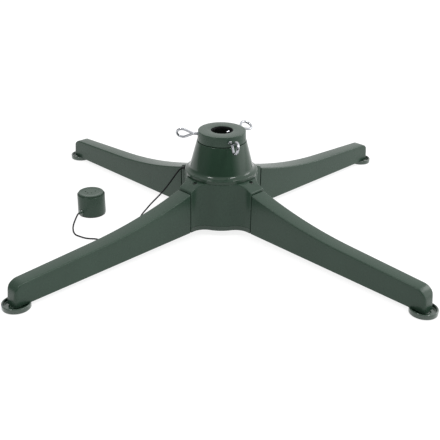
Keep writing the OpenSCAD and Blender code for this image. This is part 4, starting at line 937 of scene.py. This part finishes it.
# %% [markdown]
# ## Spring and inner leads
# The spring under the cap is a helix of round wire, nearly flat at each end. The Screw modifier
# gives an even pitch only, so this is a tube along a line whose rise is given. The leads inside
# the hub have the same smooth curves as the cord. Both are out of sight in the photograph, but
# their solids are coarse, so both are made again.

# %% Spring
SPRING_R, SPRING_WIRE, SPRING_TURNS, SPRING_LOW, SPRING_HIGH = 10.5, 0.6, 6, 4.65, 33.35
STEPS_PER_TURN, CLOSED_PART, CLOSED_LIFT, CAP_TRAVEL = 40, 0.11, 0.035, 2.5
t = np.linspace(0, 1, SPRING_TURNS * STEPS_PER_TURN + 1)
lift = np.interp(t, [0, CLOSED_PART, 1 - CLOSED_PART, 1], [0, CLOSED_LIFT, 1 - CLOSED_LIFT, 1])
coil_line = np.c_[np.array(SWITCH_AT) + circle(SPRING_R, 2 * np.pi * SPRING_TURNS * t),
                  SPRING_LOW + (SPRING_HIGH - SPRING_LOW) * lift]
coil = solid("switch_coil", [tube(coil_line, SPRING_WIRE, 10)])
dress(coil, STEEL, "stand", "steel", "switch_spring")
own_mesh(coil)
print("spring: wire of", SPRING_WIRE * 2, "mm,", SPRING_TURNS, "turns")

# %% Leads in the hub
BLOCK_X, BLOCK_TOP, BLOCK_PITCH, LEAD_R, LEAD_SIDES, LEAD_STEPS = -38.0, 22.0, 7, 0.9, 10, 8
lead_routes = [
    [on_arm("rear_left", GLAND_U, 9.5, GLAND_Z), on_arm("rear_left", GLAND_U - 1.2, 9.25, GLAND_Z),
     on_arm("rear_left", 54, 9.25, GLAND_Z), on_arm("rear_left", 45, 5.25, GLAND_Z - 1.5),
     (-34, 25, 60), (-38, 15, 42),
     (BLOCK_X, BLOCK_PITCH, BLOCK_TOP + 6), (BLOCK_X, BLOCK_PITCH, BLOCK_TOP)],
    [(0, 42.5, 33), (0, 38.5, 33), (-13, 33, 34), (-28, 18, 34),
     (BLOCK_X, 0, BLOCK_TOP + 8), (BLOCK_X, 0, BLOCK_TOP)],
    [(-2, 0, 29), (-6, 0, 29), (-18, -4, 34), (-30, -7, 34),
     (BLOCK_X, -BLOCK_PITCH, BLOCK_TOP + 7), (BLOCK_X, -BLOCK_PITCH, BLOCK_TOP)]]
leads = solid("hub_leads", [tube(smooth_line(route, LEAD_STEPS), LEAD_R, LEAD_SIDES)
                            for route in lead_routes])
dress(leads, CORD, "stand", "black_plastic", "internal_leads")

# %% [markdown]
# ## Lock screws
# One screw in the top of each arm locks its leg. Only the head shows, sunk in a round recess,
# with a cross for the driver. A bump could fake the cross, but the mesh is a result in its own
# right, so two thin blocks cut it.

# %% Lock screws
HEAD_DOWN, HEAD_HIGH, HEAD_EDGE_HIGH, STEM_HALF, STEM_LONG = 2.2, 1.9, 1.7, 1.9, 26
CROSS_TURNS, CROSS_LONG, CROSS_HALF, CROSS_FLOOR, CROSS_TO = (20, 110), 1.9, 0.35, 0.9, 3
lock_skins, cross_tools = [], []
low = LOCK_TOP - HEAD_DOWN
slit = block((-CROSS_LONG, -CROSS_HALF, CROSS_FLOOR), (CROSS_LONG, CROSS_HALF, CROSS_TO))
head = rounded([(0, low + HEAD_HIGH, 0), (LOCK_HEAD_R, low + HEAD_EDGE_HIGH, 0.7),
                (LOCK_HEAD_R, low, 0.1), (STEM_HALF, low, 0), (STEM_HALF, low - STEM_LONG, 0.5),
                (0, low - STEM_LONG, 0)], closed=False)
for arm, (x, y, _) in zip(ARM_AT, lock_at):
    lock_skins.append(turned(head, 32, closed=False, at=(x, y)))
    for quarter in CROSS_TURNS:
        cross_way = Matrix.Translation((x, y, low)) @ spun(quarter + ARM_AT[arm])
        cross_tools.append(placed(slit, cross_way))
locks = solid("lock_screws", lock_skins)
cut(locks, cross_tools)
dress(locks, DULL_STEEL, "stand", "steel", "leg_lock_screws")

# %% [markdown]
# ## Finishes for the solids that stay
# Bearings, gears, motor, screws and the hidden covers could be made again too. Their solids are
# right as they are, so they stay and only get a finish.

# %% Finishes on the frame's nodes, by how their names begin
NODE_FINISH = {
    DARK_GREEN: ["base_plate", "switch_base", "leg_cover_"],
    STEEL: ["base_screws", "jack_nut", "foot_screws", "cone_screws", "bearing_race",
            "gear_circlip", "clamp_nuts", "motor_can", "motor_plate", "motor_screws",
            "switch_screws"],
    DULL_STEEL: ["spindle_tube", "pole_stop"],
    ZINC: ["bearing_balls", "motor_shaft"],
    BRONZE: ["deck_bush", "cone_bush", "friction_washer"],
    BRASS: ["bearing_cage", "drive_pinion"],
    WHITE: ["spindle_gear", "terminal_block"],
    BLACK: ["dc_jack", "switch_contact"],
    RUBBER: ["foot_pad_", "switch_pad"]}
finished = 0
for material, beginnings in NODE_FINISH.items():
    for name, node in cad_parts.items():
        if name.startswith(tuple(beginnings)):
            node.data.materials.clear()
            node.data.materials.append(material)
            finished += 1
print("solids with a finish of their own:", finished)

# %% [markdown]
# ## Floor and light
# A product photograph on white has a floor brighter than the film can hold, so hardly any shadow
# is left. Strong lamps on a white floor would wash out the green. So the floor is grey paper with
# some light of its own. The room is white behind and above the stand, dim on its left, brightest
# on its right, and dark low in front. So faces that look at the camera stay deep green, and a
# pale sheen runs along each edge that turns away.

# %% Floor
FLOOR_HALF, FLOOR_Z = 6, -0.0002
PAPER_GREY, PAPER_GLOW, PAPER_ROUGH = 0.24, 0.84, 0.9
floor_mesh = bpy.data.meshes.new("floor")
floor_mesh.from_pydata([(FLOOR_HALF * x, FLOOR_HALF * y, FLOOR_Z)
                        for x, y in ((-1, -1), (1, -1), (1, 1), (-1, 1))], [], [(0, 1, 2, 3)])
floor = new_object("floor", floor_mesh)
paper = bpy.data.materials.new("paper")
paper.use_nodes = True
feed(paper.node_tree, paper.node_tree.nodes["Principled BSDF"], {
    "Base Color": (PAPER_GREY, PAPER_GREY, PAPER_GREY, 1), "Roughness": PAPER_ROUGH,
    "Specular IOR Level": 0.0, "Emission Color": (1, 1, 1, 1), "Emission Strength": PAPER_GLOW})
floor_mesh.materials.append(paper)
print("floor:", 2 * FLOOR_HALF, "m square")

# %% Room
# Strength = dark + (1 - low in front) * (left to middle + more on the right), by the direction of
# sight: x to the right, y away from the camera, z up. Each pair is where a ramp starts and ends.
ROOM_LEFT, ROOM_MIDDLE, ROOM_RIGHT_ADDS, ROOM_DARK = 0.22, 1.05, 0.95, 0.06
IN_FRONT, LOW_DOWN, LEFT_RAMP, RIGHT_RAMP = (-0.25, -0.75), (0.75, 0.45), (-1.0, -0.4), (0.4, 1.0)
world = bpy.data.worlds.new("studio")
bpy.context.scene.world = world
world.use_nodes = True
room = world.node_tree
sight = add_node(room, "ShaderNodeTexCoord", {}).outputs["Generated"]
to_x, to_y, to_z = add_node(room, "ShaderNodeSeparateXYZ", {0: sight}).outputs
in_front = ramp(room, to_y, *IN_FRONT, 0.0, 1.0)
low_down = ramp(room, to_z, *LOW_DOWN, 0.0, 1.0)
lit = math_node(room, "SUBTRACT", 1.0, math_node(room, "MULTIPLY", in_front, low_down))
white = math_node(room, "ADD", ramp(room, to_x, *LEFT_RAMP, ROOM_LEFT, ROOM_MIDDLE),
                  ramp(room, to_x, *RIGHT_RAMP, 0.0, ROOM_RIGHT_ADDS))
glow = math_node(room, "ADD", math_node(room, "MULTIPLY", lit, white), ROOM_DARK)
feed(room, room.nodes["Background"], {"Strength": glow, "Color": (1, 1, 1, 1)})
print("room:", len(room.nodes), "nodes")


# %% Lamps: place, the point looked at, size in metres and power in watts
def lamp(name, at, aim, size, power):
    """A square soft lamp that looks from one point to another."""
    light = bpy.data.lights.new(name, "AREA")
    light.shape, light.size, light.energy = "SQUARE", size, power
    made = new_object(name, light)
    made.location = at
    made.rotation_euler = (Vector(aim) - Vector(at)).to_track_quat("-Z", "Y").to_euler()


lamp("key", (-1.2, -0.9, 2.1), (0, 0, 0.05), 0.5, 15)
lamp("fill", (1.2, -0.9, 2.0), (0, 0, 0.05), 0.5, 13)
lamp("rim", (2.0, 0.7, 1.3), (0, 0, 0.08), 0.9, 10)
bpy.context.scene.view_settings.view_transform = "Standard"
print("lamps:", len(bpy.data.lights))
